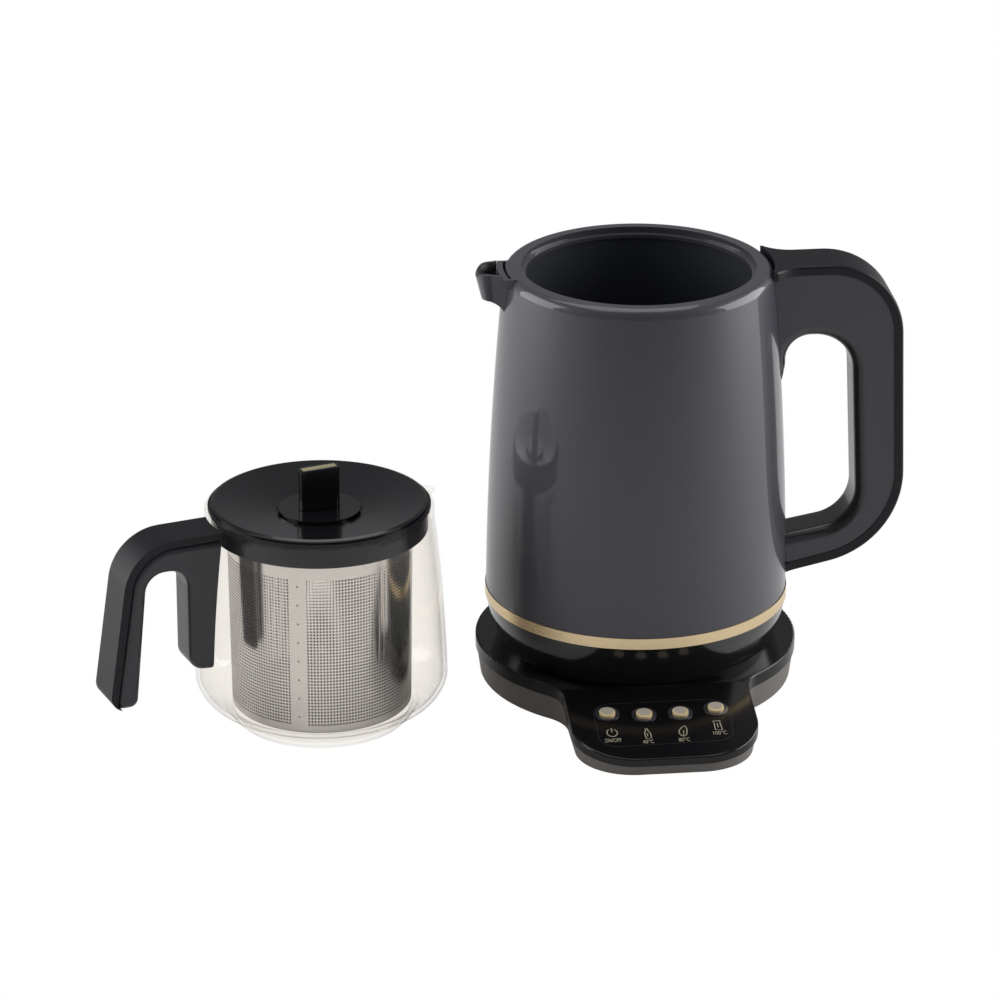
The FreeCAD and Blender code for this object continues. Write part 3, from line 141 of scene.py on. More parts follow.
grain.links.new(grain_bump.outputs[0], grain_out.inputs["Normal"])
print("group:", grain.name)

# %% Group: brushed lines
brushed = bpy.data.node_groups.new("Brushed lines", "ShaderNodeTree")
group_socket(brushed, "Stretch", "NodeSocketVector", value=(40.0, 40.0, 4000.0))
group_socket(brushed, "Roughness", "NodeSocketFloat", value=0.25)
group_socket(brushed, "Spread", "NodeSocketFloat", value=0.2)
group_socket(brushed, "Bump", "NodeSocketFloat", value=0.3)
group_socket(brushed, "Roughness", "NodeSocketFloat", output=True)
group_socket(brushed, "Streak", "NodeSocketFloat", output=True)
group_socket(brushed, "Normal", "NodeSocketVector", output=True)
brush_in = node(brushed, "NodeGroupInput")
brush_out = node(brushed, "NodeGroupOutput")
brush_place = node(brushed, "ShaderNodeTexCoord")
brush_scale = node(brushed, "ShaderNodeVectorMath", operation="MULTIPLY")
brushed.links.new(brush_place.outputs["Object"], brush_scale.inputs[0])
brushed.links.new(brush_in.outputs["Stretch"], brush_scale.inputs[1])
brush_noise = node(brushed, "ShaderNodeTexNoise")
brush_noise.inputs["Scale"].default_value = 1.0
brush_noise.inputs["Detail"].default_value = 2.0
brushed.links.new(brush_scale.outputs[0], brush_noise.inputs["Vector"])
brush_swing = math_node(brushed, "SUBTRACT", brush_noise.outputs[0], 0.5)
brush_swing = math_node(brushed, "MULTIPLY", brush_swing, brush_in.outputs["Spread"])
brush_rough = math_node(brushed, "ADD", brush_swing, brush_in.outputs["Roughness"])
brushed.links.new(brush_rough, brush_out.inputs["Roughness"])
brushed.links.new(brush_noise.outputs[0], brush_out.inputs["Streak"])
brush_bump = node(brushed, "ShaderNodeBump")
brush_bump.inputs["Distance"].default_value = 0.00004
brushed.links.new(brush_in.outputs["Bump"], brush_bump.inputs["Strength"])
brushed.links.new(brush_noise.outputs[0], brush_bump.inputs["Height"])
brushed.links.new(brush_bump.outputs[0], brush_out.inputs["Normal"])
print("group:", brushed.name)

# %% [markdown]
# ## Finishes
#
# Each finish below is a Principled shader with one of the groups. Colours are in linear light. The kettle's
# jacket is a dark grey lacquer under a clear coat. The rough colour below shows the broad lights at its
# sides softly, and the thin coat mirrors the teapot and the handle sharply, as in the photograph. A shader
# that is only glossy would show the lights as hard white bars instead.


# %% Material maker
def finish(
    name, colour, effect=grain, dark=0.85, metallic=0.0, coat=0.0, coat_rough=0.08, specular=0.5, **settings
):
    """A Principled material whose roughness, normal and tone come from one of the groups."""
    made = bpy.data.materials.new(name)
    made.use_nodes = True
    tree = made.node_tree
    shader = tree.nodes["Principled BSDF"]
    shader.inputs["Metallic"].default_value = metallic
    shader.inputs["Coat Weight"].default_value = coat
    shader.inputs["Coat Roughness"].default_value = coat_rough
    shader.inputs["Specular IOR Level"].default_value = specular
    detail = node(tree, "ShaderNodeGroup", node_tree=effect)
    for key, value in settings.items():
        detail.inputs[key.capitalize()].default_value = value
    blend = node(tree, "ShaderNodeMix", data_type="RGBA")
    blend.inputs["A"].default_value = (colour[0] * dark, colour[1] * dark, colour[2] * dark, 1.0)
    blend.inputs["B"].default_value = (colour[0], colour[1], colour[2], 1.0)
    tone = detail.outputs["Tone"] if effect is grain else detail.outputs["Streak"]
    tree.links.new(tone, blend.inputs["Factor"])
    tree.links.new(blend.outputs["Result"], shader.inputs["Base Color"])
    tree.links.new(detail.outputs["Roughness"], shader.inputs["Roughness"])
    tree.links.new(detail.outputs["Normal"], shader.inputs["Normal"])
    return made


# %% The finishes
lacquer = finish("grey_lacquer", (0.055, 0.054, 0.069), dark=0.96, coat=0.8, coat_rough=0.04, specular=0.35,
                 roughness=0.42, spread=0.03, scale=2600.0, bump=0.05)
black_gloss = finish("black_gloss", (0.005, 0.005, 0.006), dark=0.8, coat=0.15, specular=0.32, roughness=0.14,
                     spread=0.06, scale=1500.0, bump=0.03)
skirt_gloss = finish("skirt_gloss", (0.013, 0.013, 0.013), dark=0.8, coat=0.9, roughness=0.16, spread=0.06,
                     scale=1500.0, bump=0.03)
lid_gloss = finish("lid_gloss", (0.006, 0.006, 0.008), dark=0.8, coat=0.35, specular=0.4, roughness=0.2,
                   spread=0.06, scale=1500.0, bump=0.03)
collar_black = finish("collar_black", (0.016, 0.016, 0.020), dark=0.9, coat=0.1, specular=0.25, roughness=0.3,
                      spread=0.05, scale=1500.0, bump=0.01)
casing_grey = finish("casing_warm_grey", (0.168, 0.151, 0.136), dark=0.9, roughness=0.42, spread=0.06,
                     scale=1300.0, bump=0.12)
rubber = finish("rubber", (0.02, 0.02, 0.02), dark=0.7, roughness=0.75, spread=0.1, scale=1100.0, bump=0.4)
satin_black = finish("satin_black", (0.014, 0.014, 0.016), dark=0.8, roughness=0.46, spread=0.06,
                     scale=1700.0, bump=0.15)
strip_black = finish("strip_black", (0.011, 0.011, 0.015), dark=0.85, specular=0.3, roughness=0.4,
                     spread=0.05, scale=1900.0, bump=0.1)
handle_grey = finish("handle_grey", (0.034, 0.033, 0.040), dark=0.88, coat=0.2, roughness=0.34, spread=0.05,
                     scale=1900.0, bump=0.08)
pot_dark = finish("pot_dark", (0.052, 0.056, 0.066), dark=0.8, roughness=0.4, spread=0.08, specular=0.3,
                  scale=900.0, bump=0.1)
zinc = finish("zinc", (0.55, 0.55, 0.53), dark=0.7, metallic=1.0, roughness=0.35, spread=0.2, scale=700.0,
              bump=0.3)
cast = finish("cast_aluminium", (0.6, 0.6, 0.61), dark=0.75, metallic=1.0, roughness=0.5, spread=0.2,
              scale=600.0, bump=0.6)
board_green = finish("board_green", (0.01, 0.09, 0.035), effect=brushed, dark=0.5, coat=0.5, roughness=0.35,
                     spread=0.1, bump=0.2, stretch=(900.0, 60.0, 60.0))
smoke_ring = finish("smoked_ring", (0.17, 0.17, 0.21), dark=0.7, metallic=0.7, coat=1.0, coat_rough=0.03,
                    roughness=0.14, spread=0.04, scale=1500.0, bump=0.05)
contact_brass = finish("contact_brass", (0.72, 0.50, 0.22), effect=brushed, dark=0.8, metallic=1.0,
                       roughness=0.25, spread=0.15, bump=0.2, stretch=(2000.0, 80.0, 80.0))
gold = finish("champagne_gold", (0.97, 0.76, 0.47), effect=brushed, dark=0.82, metallic=1.0, roughness=0.3,
              spread=0.2, bump=0.25, stretch=(25.0, 25.0, 5000.0))
inlay_gold = finish("inlay_gold", (0.62, 0.54, 0.33), effect=brushed, dark=0.82, metallic=0.35,
                    roughness=0.35, spread=0.15, bump=0.2, stretch=(60.0, 2500.0, 2500.0))
steel = finish("basket_steel", (0.93, 0.90, 0.87), effect=brushed, dark=0.9, metallic=1.0, roughness=0.15,
               spread=0.08, bump=0.06, stretch=(30.0, 30.0, 2600.0))
print_gold = finish("printed_gold", (0.50, 0.47, 0.34), dark=0.85, roughness=0.45, spread=0.05,
                    scale=3000.0, bump=0.05)
panel_line = finish("panel_line", (0.02, 0.02, 0.022), dark=0.85, roughness=0.5, spread=0.05,
                    scale=3000.0, bump=0.05)
print("materials so far:", len(bpy.data.materials))

# %% [markdown]
# Some finishes change their colour across one piece. A mask, worked out from Object coordinates, then
# blends two tones. Painting the colours on would need a layout for each piece. Three small helpers do what
# these finishes share.


# %% Helpers that change a finish's colour from place to place
def colour_so_far(made):
    """The socket that the material's base colour comes from."""
    return made.node_tree.nodes["Principled BSDF"].inputs["Base Color"].links[0].from_socket


def recolour(made, mask, where_low, where_high):
    """Makes the base colour follow a mask; each of the two tones is a colour or a socket."""
    tree = made.node_tree
    tones = node(tree, "ShaderNodeMix", data_type="RGBA")
    tree.links.new(mask, tones.inputs["Factor"])
    for key, tone in (("A", where_low), ("B", where_high)):
        if isinstance(tone, tuple):
            tones.inputs[key].default_value = tone
        else:
            tree.links.new(tone, tones.inputs[key])
    tree.links.new(tones.outputs["Result"], tree.nodes["Principled BSDF"].inputs["Base Color"])


def off_axis(tree, place, centre):
    """Each point's offset from the upright axis through the centre, with the height left out."""
    offset = node(tree, "ShaderNodeVectorMath", operation="SUBTRACT")
    offset.inputs[1].default_value = centre
    tree.links.new(place.outputs["Object"], offset.inputs[0])
    level = node(tree, "ShaderNodeVectorMath", operation="MULTIPLY")
    level.inputs[1].default_value = (1.0, 1.0, 0.0)
    tree.links.new(offset.outputs[0], level.inputs[0])
    return level.outputs[0]


# %% [markdown]
# ## Two tones on the kettle's handle
#
# The handle is grey on its two flat sides and black inside the grip. Two solids, or a face set with its own
# material, would also do. Here one solid carries both, so the colour changes with the distance from the
# handle's middle plane. The grey face lies a little farther out at the grip than at the root, so the
# distance at which the colour changes grows with x.

# %% The handle's two tones
GRIP_BLACK = (0.010, 0.010, 0.012, 1.0)
FACE_FROM, FACE_TO = 12.4 * MM, 12.7 * MM
WIDEN_FROM, WIDEN_TO = 85.0 * MM, 105.0 * MM
WIDEN_BY = 1.25 * MM


def two_tone(made):
    """Black near the middle plane, and the material's own colour on the flat sides."""
    tree = made.node_tree
    place = node(tree, "ShaderNodeTexCoord")
    parts = node(tree, "ShaderNodeSeparateXYZ")
    tree.links.new(place.outputs["Object"], parts.inputs[0])
    side = math_node(tree, "ABSOLUTE", parts.outputs[1])
    widen = node(tree, "ShaderNodeMapRange")
    widen.inputs["From Min"].default_value = WIDEN_FROM
    widen.inputs["From Max"].default_value = WIDEN_TO
    widen.inputs["To Max"].default_value = WIDEN_BY
    tree.links.new(parts.outputs[0], widen.inputs["Value"])
    edge = node(tree, "ShaderNodeMapRange")
    edge.inputs["From Min"].default_value = FACE_FROM
    edge.inputs["From Max"].default_value = FACE_TO
    tree.links.new(math_node(tree, "SUBTRACT", side, widen.outputs["Result"]), edge.inputs["Value"])
    recolour(made, edge.outputs["Result"], GRIP_BLACK, colour_so_far(made))


handle_two_tone = finish("handle_two_tone", (0.040, 0.039, 0.049), dark=0.94, coat=0.6, coat_rough=0.05,
                         specular=0.4, roughness=0.38, spread=0.04, scale=2400.0, bump=0.06)
two_tone(handle_two_tone)
print("the handle turns grey", FACE_FROM / MM, "mm from its middle plane")

# %% [markdown]
# ## Spun button caps
#
# The four caps are turned metal: fine rings round the middle and a polished golden edge. Cutting the rings
# into the mesh would take thousands of faces for something thinner than a hair. A sine of the distance
# from the cap's own centre draws them instead, and the same distance says where the golden edge starts.

# %% A material for each cap
RING_WAVES = 9000.0
RING_DARKEST = 0.82
EDGE_FROM, EDGE_TO = 3.3 * MM, 3.5 * MM
EDGE_GOLD = (1.0, 0.78, 0.44, 1.0)
CAPS = ("button_power", "button_40", "button_80", "button_100")


def cap_finish(name, centre):
    """A spun cap: fine rings round its own centre, a grey-gold face and a golden edge."""
    made = finish(name, (0.88, 0.80, 0.68), effect=brushed, dark=0.6, metallic=0.25, roughness=0.36,
                  spread=0.2, bump=0.5, stretch=(250.0, 3800.0, 3800.0))
    tree = made.node_tree
    place = node(tree, "ShaderNodeTexCoord")
    reach = node(tree, "ShaderNodeVectorMath", operation="LENGTH")
    tree.links.new(off_axis(tree, place, centre), reach.inputs[0])
    rings = math_node(tree, "SINE", math_node(tree, "MULTIPLY", reach.outputs["Value"], RING_WAVES))
    shade = node(tree, "ShaderNodeMapRange")
    shade.inputs["From Min"].default_value = -1.0
    shade.inputs["To Min"].default_value = RING_DARKEST
    tree.links.new(rings, shade.inputs["Value"])
    ringed = node(tree, "ShaderNodeMix", data_type="RGBA", blend_type="MULTIPLY")
    ringed.inputs["Factor"].default_value = 1.0
    tree.links.new(colour_so_far(made), ringed.inputs["A"])
    tree.links.new(shade.outputs["Result"], ringed.inputs["B"])
    rim = node(tree, "ShaderNodeMapRange")
    rim.inputs["From Min"].default_value = EDGE_FROM
    rim.inputs["From Max"].default_value = EDGE_TO
    tree.links.new(reach.outputs["Value"], rim.inputs["Value"])
    recolour(made, rim.outputs["Result"], ringed.outputs["Result"], EDGE_GOLD)
    return made


caps = {}
for name in CAPS:
    low, high = [Vector(corner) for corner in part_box(name)]
    caps[name] = cap_finish("cap_" + name, (low + high) / 2)
print("caps:", ", ".join(caps))

# %% [markdown]
# ## Dark holes in the basket's steel
#
# From outside, the holes of the infuser look black, since the closed basket lets little light in. With
# bright steel all through they came out light, because their walls and the far side mirror the lamps. So
# the walls of the holes and the back of the sheet get painted shade: a dark tone in place of the missing
# light. A wall of a hole is known by its normal, which doesn't point away from the basket's axis, and the
# floor is left out by its height.

# %% Paint shade on the walls of the holes
basket_low, basket_high = [Vector(corner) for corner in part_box("infuser_basket")]
# The dark colour below is painted shade for the inside of the holes and the back of the sheet.
HOLE_PAINTED_SHADE = (0.012, 0.012, 0.012, 1.0)
OUTWARD_LEAST = 0.6
FLOOR_HEIGHT = 3.5 * MM


def paint_hole_shade(made):
    """Painted shade: a dark tone where a face doesn't look away from the basket's axis, or shows its back."""
    tree = made.node_tree
    place = node(tree, "ShaderNodeTexCoord")
    unit = node(tree, "ShaderNodeVectorMath", operation="NORMALIZE")
    tree.links.new(off_axis(tree, place, (basket_low + basket_high) / 2), unit.inputs[0])
    outward = node(tree, "ShaderNodeVectorMath", operation="DOT_PRODUCT")
    tree.links.new(unit.outputs[0], outward.inputs[0])
    tree.links.new(place.outputs["Normal"], outward.inputs[1])
    in_hole = math_node(tree, "LESS_THAN", outward.outputs["Value"], OUTWARD_LEAST)
    parts = node(tree, "ShaderNodeSeparateXYZ")
    tree.links.new(place.outputs["Object"], parts.inputs[0])
    above_floor = math_node(tree, "GREATER_THAN", parts.outputs[2], basket_low.z + FLOOR_HEIGHT)
    in_hole = math_node(tree, "MULTIPLY", in_hole, above_floor)
    faces_seen = node(tree, "ShaderNodeNewGeometry")
    shaded = math_node(tree, "MAXIMUM", in_hole, faces_seen.outputs["Backfacing"])
    recolour(made, shaded, colour_so_far(made), HOLE_PAINTED_SHADE)


paint_hole_shade(steel)
print("basket from", round(basket_low.z / MM, 1), "to", round(basket_high.z / MM, 1), "mm")

# %% [markdown]
# ## Glass
#
# The jar's walls are only 2 mm thick, and in the photograph nothing behind them looks displaced. So the
# glass is a thin wall: a part of the light is mirrored, most of it at the edges, and the rest goes straight
# through with a faint warm tint. The mirrored part grows with the fifth power of how far the wall is
# turned away, as it does on real glass. A refracting glass was tried first. It sent the light of the white
# ground elsewhere, which made the jar grey and blurred the holes behind it.

# %% The jar's glass
TURNED_POWER = 5.0
EDGE_MIRROR = 0.6
LEAST_MIRROR = 0.02
glass = bpy.data.materials.new("clear_glass")
glass.use_nodes = True
tree = glass.node_tree
mirror = tree.nodes["Principled BSDF"]
mirror.inputs["Base Color"].default_value = (0.97, 0.98, 0.96, 1.0)
mirror.inputs["Metallic"].default_value = 1.0
waves = node(tree, "ShaderNodeGroup", node_tree=grain)
waves.inputs["Scale"].default_value = 70.0
waves.inputs["Roughness"].default_value = 0.02
waves.inputs["Spread"].default_value = 0.02
waves.inputs["Bump"].default_value = 0.25
tree.links.new(waves.outputs["Roughness"], mirror.inputs["Roughness"])
tree.links.new(waves.outputs["Normal"], mirror.inputs["Normal"])
through = node(tree, "ShaderNodeBsdfTransparent")
through.inputs["Color"].default_value = (0.985, 0.973, 0.958, 1.0)
edge_on = node(tree, "ShaderNodeLayerWeight")
edge_on.inputs["Blend"].default_value = 0.5
share = math_node(tree, "POWER", edge_on.outputs["Facing"], TURNED_POWER)
share = math_node(tree, "MULTIPLY", share, EDGE_MIRROR)
share = math_node(tree, "ADD", share, LEAST_MIRROR)
both = node(tree, "ShaderNodeMixShader")
tree.links.new(share, both.inputs[0])
tree.links.new(through.outputs[0], both.inputs[1])
tree.links.new(mirror.outputs[0], both.inputs[2])
tree.links.new(both.outputs[0], tree.nodes["Material Output"].inputs["Surface"])
print("materials with the glass:", len(bpy.data.materials))

# %% [markdown]
# ## Dressing the CAD solids
#
# The housings, the handles, the lid and the rings come as solids from the frame. Modelling them again would
# only risk a change of size or place. So each keeps its mesh and only gets its finish, by its name.

# %% Finishes for the solids
FINISHES = {
    "base_top_cover": black_gloss,
    "base_lower_casing": casing_grey,
    "base_feet": rubber,
    "base_screws": zinc,
    "cord_gland": rubber,
    "connector_post": satin_black,
    "connector_contacts": contact_brass,
    "control_board": board_green,
    "tact_switches": satin_black,
    "button_bezels": smoke_ring,
    **caps,
    "rim_ring": lacquer,
    "kettle_body_shell": lacquer,
    "spout_shell": lacquer,
    "spout_liner": satin_black,
    "gold_band": gold,
    "kettle_skirt": skirt_gloss,
    "inner_pot": pot_dark,
    "heating_plate": cast,
    "heating_element": zinc,
    "temperature_sensor": zinc,
    "kettle_bottom_cover": satin_black,
    "kettle_bottom_screws": zinc,
    "kettle_connector": satin_black,
    "handle_shell": handle_two_tone,
    "handle_strip": strip_black,
    "glass_jar": glass,
    "teapot_handle_shell": handle_grey,
    "teapot_handle_strip": strip_black,
    "infuser_collar": collar_black,
    "teapot_lid": lid_gloss,
    "lid_knob_base": lid_gloss,
    "lid_knob": lid_gloss,
    "knob_inlay": inlay_gold,
}
for name, chosen in FINISHES.items():
    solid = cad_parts[name]
    if not solid.material_slots:
        solid.data.materials.append(chosen)
    for slot in solid.material_slots:
        slot.material = chosen
print("dressed:", len(FINISHES), "of", len(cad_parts))


# %% Helpers for new pieces
def new_piece(name, points, faces, chosen):
    """A mesh object whose points already stand in the object's own place."""
    mesh = bpy.data.meshes.new(name)
    mesh.from_pydata([tuple(point) for point in points], [], faces)
    mesh.update()
    mesh.materials.append(chosen)
    made = bpy.data.objects.new(name, mesh)
    bpy.context.scene.collection.objects.link(made)
    return made


def turned_ring(section, centre, first, last, steps):
    """Points and faces of a closed section (r, z) swept round a vertical axis between two angles."""
    whole = abs(last - first - math.tau) < 1e-6
    rows = steps if whole else steps + 1
    points = []
    for row in range(rows):
        turn = first + (last - first) * row / steps
        for r, z in section:
            points.append((centre[0] + r * math.cos(turn), centre[1] + r * math.sin(turn), z))
    width = len(section)
    faces = []
    for row in range(steps):
        here = row * width
        after = ((row + 1) % rows) * width
        for corner in range(width):
            follow = (corner + 1) % width
            faces.append((here + corner, after + corner, after + follow, here + follow))
    if not whole:
        faces.append(tuple(range(width)))
        faces.append(tuple(reversed([(rows - 1) * width + corner for corner in range(width)])))
    return points, faces


def joined(parts):
    """Several (points, faces) as one."""
    points, faces = [], []
    for some_points, some_faces in parts:
        start = len(points)
        points += some_points
        faces += [tuple(start + corner for corner in face) for face in some_faces]
    return points, faces


def evaluated_copy(source, name):
    """The object with its modifiers as a plain mesh object."""
    graph = bpy.context.evaluated_depsgraph_get()
    mesh = bpy.data.meshes.new_from_object(source.evaluated_get(graph))
    mesh.name = name
    made = bpy.data.objects.new(name, mesh)
    bpy.context.scene.collection.objects.link(made)
    return made


# %% [markdown]
# ## The infuser basket
#
# The basket is a steel sheet with rows of small square holes, rolled up and spot-welded along a plain
# strip. The CAD solid is the closed basket. Here one cell, a small plate with a hole through it, is
# repeated by Geometry Nodes over the cone between the plain bands. A picture of holes with transparency
# would look flat at the edges, where the photograph shows the thickness of the sheet.

# %% Basket sizes, taken from the CAD solid
axis_spot = ((basket_low.x + basket_high.x) / 2, (basket_low.y + basket_high.y) / 2)
INSIDE_SOLID = 0.05 * MM
TAPER = 1.3 * MM
FOOT_BAND = 4.0 * MM
TOP_BAND = 14.0 * MM
SEAM_HALF_WIDTH = 4.4 * MM
top_radius = (basket_high.x - basket_low.x) / 2 - INSIDE_SOLID
foot_radius = top_radius - TAPER
sheet = 0.5 * MM
holes_low = basket_low.z + FOOT_BAND
holes_high = basket_high.z - TOP_BAND
seam_turn = math.radians(-109.0)
seam_half = SEAM_HALF_WIDTH / top_radius
COLUMNS, ROWS = 176, 47


def radius_at(z):
    """The radius of the tapered sheet at a height."""
    return foot_radius + (top_radius - foot_radius) * (z - basket_low.z) / (basket_high.z - basket_low.z)


print("basket radius", round(top_radius / MM, 2), "mm, holes", COLUMNS * ROWS)

# %% One cell with its hole: the outer face and the walls of the hole
HOLE_HALF = 0.27
cell_points = []
for depth in (0.0, -1.0):
    for reach in (0.5, HOLE_HALF):
        for y, z in ((-reach, -reach), (reach, -reach), (reach, reach), (-reach, reach)):
            cell_points.append((depth, y, z))
cell_faces = []
for corner in range(4):
    follow = (corner + 1) % 4
    cell_faces.append((corner, follow, 4 + follow, 4 + corner))
    cell_faces.append((4 + corner, 4 + follow, 12 + follow, 12 + corner))
cell_mesh = bpy.data.meshes.new("hole_cell")
cell_mesh.from_pydata(cell_points, [], cell_faces)
cell = bpy.data.objects.new("hole_cell", cell_mesh)
bpy.context.scene.collection.objects.link(cell)
print("cell:", len(cell_faces), "faces, hole", HOLE_HALF * 2, "of its width")

# %% Geometry Nodes: cells over a cone
sheet_nodes = bpy.data.node_groups.new("Perforated cone", "GeometryNodeTree")
sheet_inputs = {}
for label, kind in (
    ("Cell", "NodeSocketObject"),
    ("Columns", "NodeSocketInt"),
    ("Rows", "NodeSocketInt"),
    ("First turn", "NodeSocketFloat"),
    ("Last turn", "NodeSocketFloat"),
    ("Low", "NodeSocketFloat"),
    ("High", "NodeSocketFloat"),
    ("Low radius", "NodeSocketFloat"),
    ("High radius", "NodeSocketFloat"),
    ("Cell size", "NodeSocketVector"),
    ("Centre", "NodeSocketVector"),
    ("Finish", "NodeSocketMaterial"),
):
    sheet_inputs[label] = sheet_nodes.interface.new_socket(name=label, in_out="INPUT", socket_type=kind)
sheet_nodes.interface.new_socket(name="Geometry", in_out="OUTPUT", socket_type="NodeSocketGeometry")
cone_in = node(sheet_nodes, "NodeGroupInput")
cone_out = node(sheet_nodes, "NodeGroupOutput")
cone_grid = node(sheet_nodes, "GeometryNodeMeshGrid")
cone_place = node(sheet_nodes, "GeometryNodeInputPosition")
cone_parts = node(sheet_nodes, "ShaderNodeSeparateXYZ")
cone_link = sheet_nodes.links.new
cone_link(cone_in.outputs["Columns"], cone_grid.inputs["Vertices X"])
cone_link(cone_in.outputs["Rows"], cone_grid.inputs["Vertices Y"])
cone_link(cone_place.outputs[0], cone_parts.inputs[0])


def mapped(source, low, high):
    """The grid's -0.5 to 0.5 turned into low to high."""
    made = node(sheet_nodes, "ShaderNodeMapRange")
    made.inputs["From Min"].default_value = -0.5
    made.inputs["From Max"].default_value = 0.5
    cone_link(source, made.inputs["Value"])
    cone_link(low, made.inputs["To Min"])
    cone_link(high, made.inputs["To Max"])
    return made.outputs["Result"]


cone_turn = mapped(cone_parts.outputs[0], cone_in.outputs["First turn"], cone_in.outputs["Last turn"])
cone_rise = mapped(cone_parts.outputs[1], cone_in.outputs["Low"], cone_in.outputs["High"])
cone_reach = mapped(cone_parts.outputs[1], cone_in.outputs["Low radius"], cone_in.outputs["High radius"])
cone_store = node(sheet_nodes, "GeometryNodeStoreNamedAttribute", data_type="FLOAT", domain="POINT")
cone_store.inputs["Name"].default_value = "turn"
cone_link(cone_grid.outputs["Mesh"], cone_store.inputs["Geometry"])
cone_link(cone_turn, cone_store.inputs["Value"])
cone_x = math_node(sheet_nodes, "MULTIPLY", math_node(sheet_nodes, "COSINE", cone_turn), cone_reach)
cone_y = math_node(sheet_nodes, "MULTIPLY", math_node(sheet_nodes, "SINE", cone_turn), cone_reach)
cone_spot = node(sheet_nodes, "ShaderNodeCombineXYZ")
cone_link(cone_x, cone_spot.inputs[0])
cone_link(cone_y, cone_spot.inputs[1])
cone_link(cone_rise, cone_spot.inputs[2])
cone_sum = node(sheet_nodes, "ShaderNodeVectorMath", operation="ADD")
cone_link(cone_spot.outputs[0], cone_sum.inputs[0])
cone_link(cone_in.outputs["Centre"], cone_sum.inputs[1])
cone_set = node(sheet_nodes, "GeometryNodeSetPosition")
cone_link(cone_store.outputs["Geometry"], cone_set.inputs["Geometry"])
cone_link(cone_sum.outputs[0], cone_set.inputs["Position"])
cone_named = node(sheet_nodes, "GeometryNodeInputNamedAttribute", data_type="FLOAT")
cone_named.inputs["Name"].default_value = "turn"
cone_euler = node(sheet_nodes, "ShaderNodeCombineXYZ")
cone_link(cone_named.outputs["Attribute"], cone_euler.inputs[2])
cone_object = node(sheet_nodes, "GeometryNodeObjectInfo")
cone_link(cone_in.outputs["Cell"], cone_object.inputs["Object"])
cone_instance = node(sheet_nodes, "GeometryNodeInstanceOnPoints")
cone_link(cone_set.outputs["Geometry"], cone_instance.inputs["Points"])
cone_link(cone_object.outputs["Geometry"], cone_instance.inputs["Instance"])
cone_link(cone_euler.outputs[0], cone_instance.inputs["Rotation"])
cone_link(cone_in.outputs["Cell size"], cone_instance.inputs["Scale"])
cone_real = node(sheet_nodes, "GeometryNodeRealizeInstances")
cone_link(cone_instance.outputs[0], cone_real.inputs[0])
cone_finish = node(sheet_nodes, "GeometryNodeSetMaterial")
cone_link(cone_real.outputs[0], cone_finish.inputs["Geometry"])
cone_link(cone_in.outputs["Finish"], cone_finish.inputs["Material"])
cone_link(cone_finish.outputs[0], cone_out.inputs["Geometry"])
print("tree:", sheet_nodes.name, "with", len(sheet_inputs), "inputs")


# %% Run the nodes and keep the result as a plain mesh
def grown(name, tree, sockets, values, chosen):
    """Runs a node tree on an empty mesh with its inputs set by their identifiers."""
    holder = bpy.data.objects.new(name + "_source", bpy.data.meshes.new(name + "_source"))
    bpy.context.scene.collection.objects.link(holder)
    modifier = holder.modifiers.new(name, "NODES")
    modifier.node_group = tree
    for label, value in values.items():
        modifier[sockets[label].identifier] = value
    holder.update_tag()
    bpy.context.view_layer.update()
    made = evaluated_copy(holder, name)
    holder.modifiers.remove(modifier)
    bpy.data.objects.remove(holder)
    if not made.data.materials:
        made.data.materials.append(chosen)
    return made


pitch_turn = (math.tau - 2 * seam_half) / COLUMNS
pitch_rise = (holes_high - holes_low) / ROWS
WIDE_OVERLAP = 1.002
TALL_OVERLAP = 1.001
basket_sheet = grown(
    "basket_sheet",
    sheet_nodes,
    sheet_inputs,
    {
        "Cell": cell,
        "Columns": COLUMNS,
        "Rows": ROWS,
        "First turn": seam_turn + seam_half + pitch_turn / 2,
        "Last turn": seam_turn + math.tau - seam_half - pitch_turn / 2,
        "Low": holes_low + pitch_rise / 2,
        "High": holes_high - pitch_rise / 2,
        "Low radius": radius_at(holes_low),
        "High radius": radius_at(holes_high),
        "Cell size": (sheet, pitch_turn * top_radius * WIDE_OVERLAP, pitch_rise * TALL_OVERLAP),
        "Centre": (axis_spot[0], axis_spot[1], 0.0),
        "Finish": steel,
    },
    steel,
)
bpy.data.objects.remove(cell)
print("basket sheet:", len(basket_sheet.data.polygons), "faces")

# %% [markdown]
# The sheet's upper band, its foot with the floor, and the strip with the seam have no holes. Each is a
# closed section swept round the axis, or round a small part of it. That gives clean edges with few faces.

# %% Plain bands, seam and floor of the basket
ROUND_STEPS, SEAM_STEPS = 128, 6
PROUD = 0.04 * MM
SEAM_OVERLAP = 0.5 * MM
LIP_BEVEL = 0.3 * MM
FOOT_BEVEL = 0.8 * MM
FOOT_INSIDE = 1.2 * MM
FLOOR_THICK = 0.6 * MM
FLOOR_INNER = 0.3 * MM
upper = [
    (radius_at(holes_high), holes_high),
    (top_radius, basket_high.z - LIP_BEVEL),
    (top_radius - LIP_BEVEL, basket_high.z),
    (top_radius - sheet, basket_high.z - LIP_BEVEL),
    (radius_at(holes_high) - sheet, holes_high),
]
lower = [
    (radius_at(holes_low), holes_low),
    (radius_at(holes_low) - sheet, holes_low),
    (foot_radius - FOOT_INSIDE, basket_low.z + FLOOR_THICK),
    (FLOOR_INNER, basket_low.z + FLOOR_THICK),
    (FLOOR_INNER, basket_low.z),
    (foot_radius - FOOT_BEVEL, basket_low.z),
    (foot_radius, basket_low.z + FOOT_BEVEL),
]
seam = [
    (radius_at(holes_low) + PROUD, holes_low - SEAM_OVERLAP),
    (radius_at(holes_high) + PROUD, holes_high + SEAM_OVERLAP),
    (radius_at(holes_high) - sheet, holes_high + SEAM_OVERLAP),
    (radius_at(holes_low) - sheet, holes_low - SEAM_OVERLAP),
]
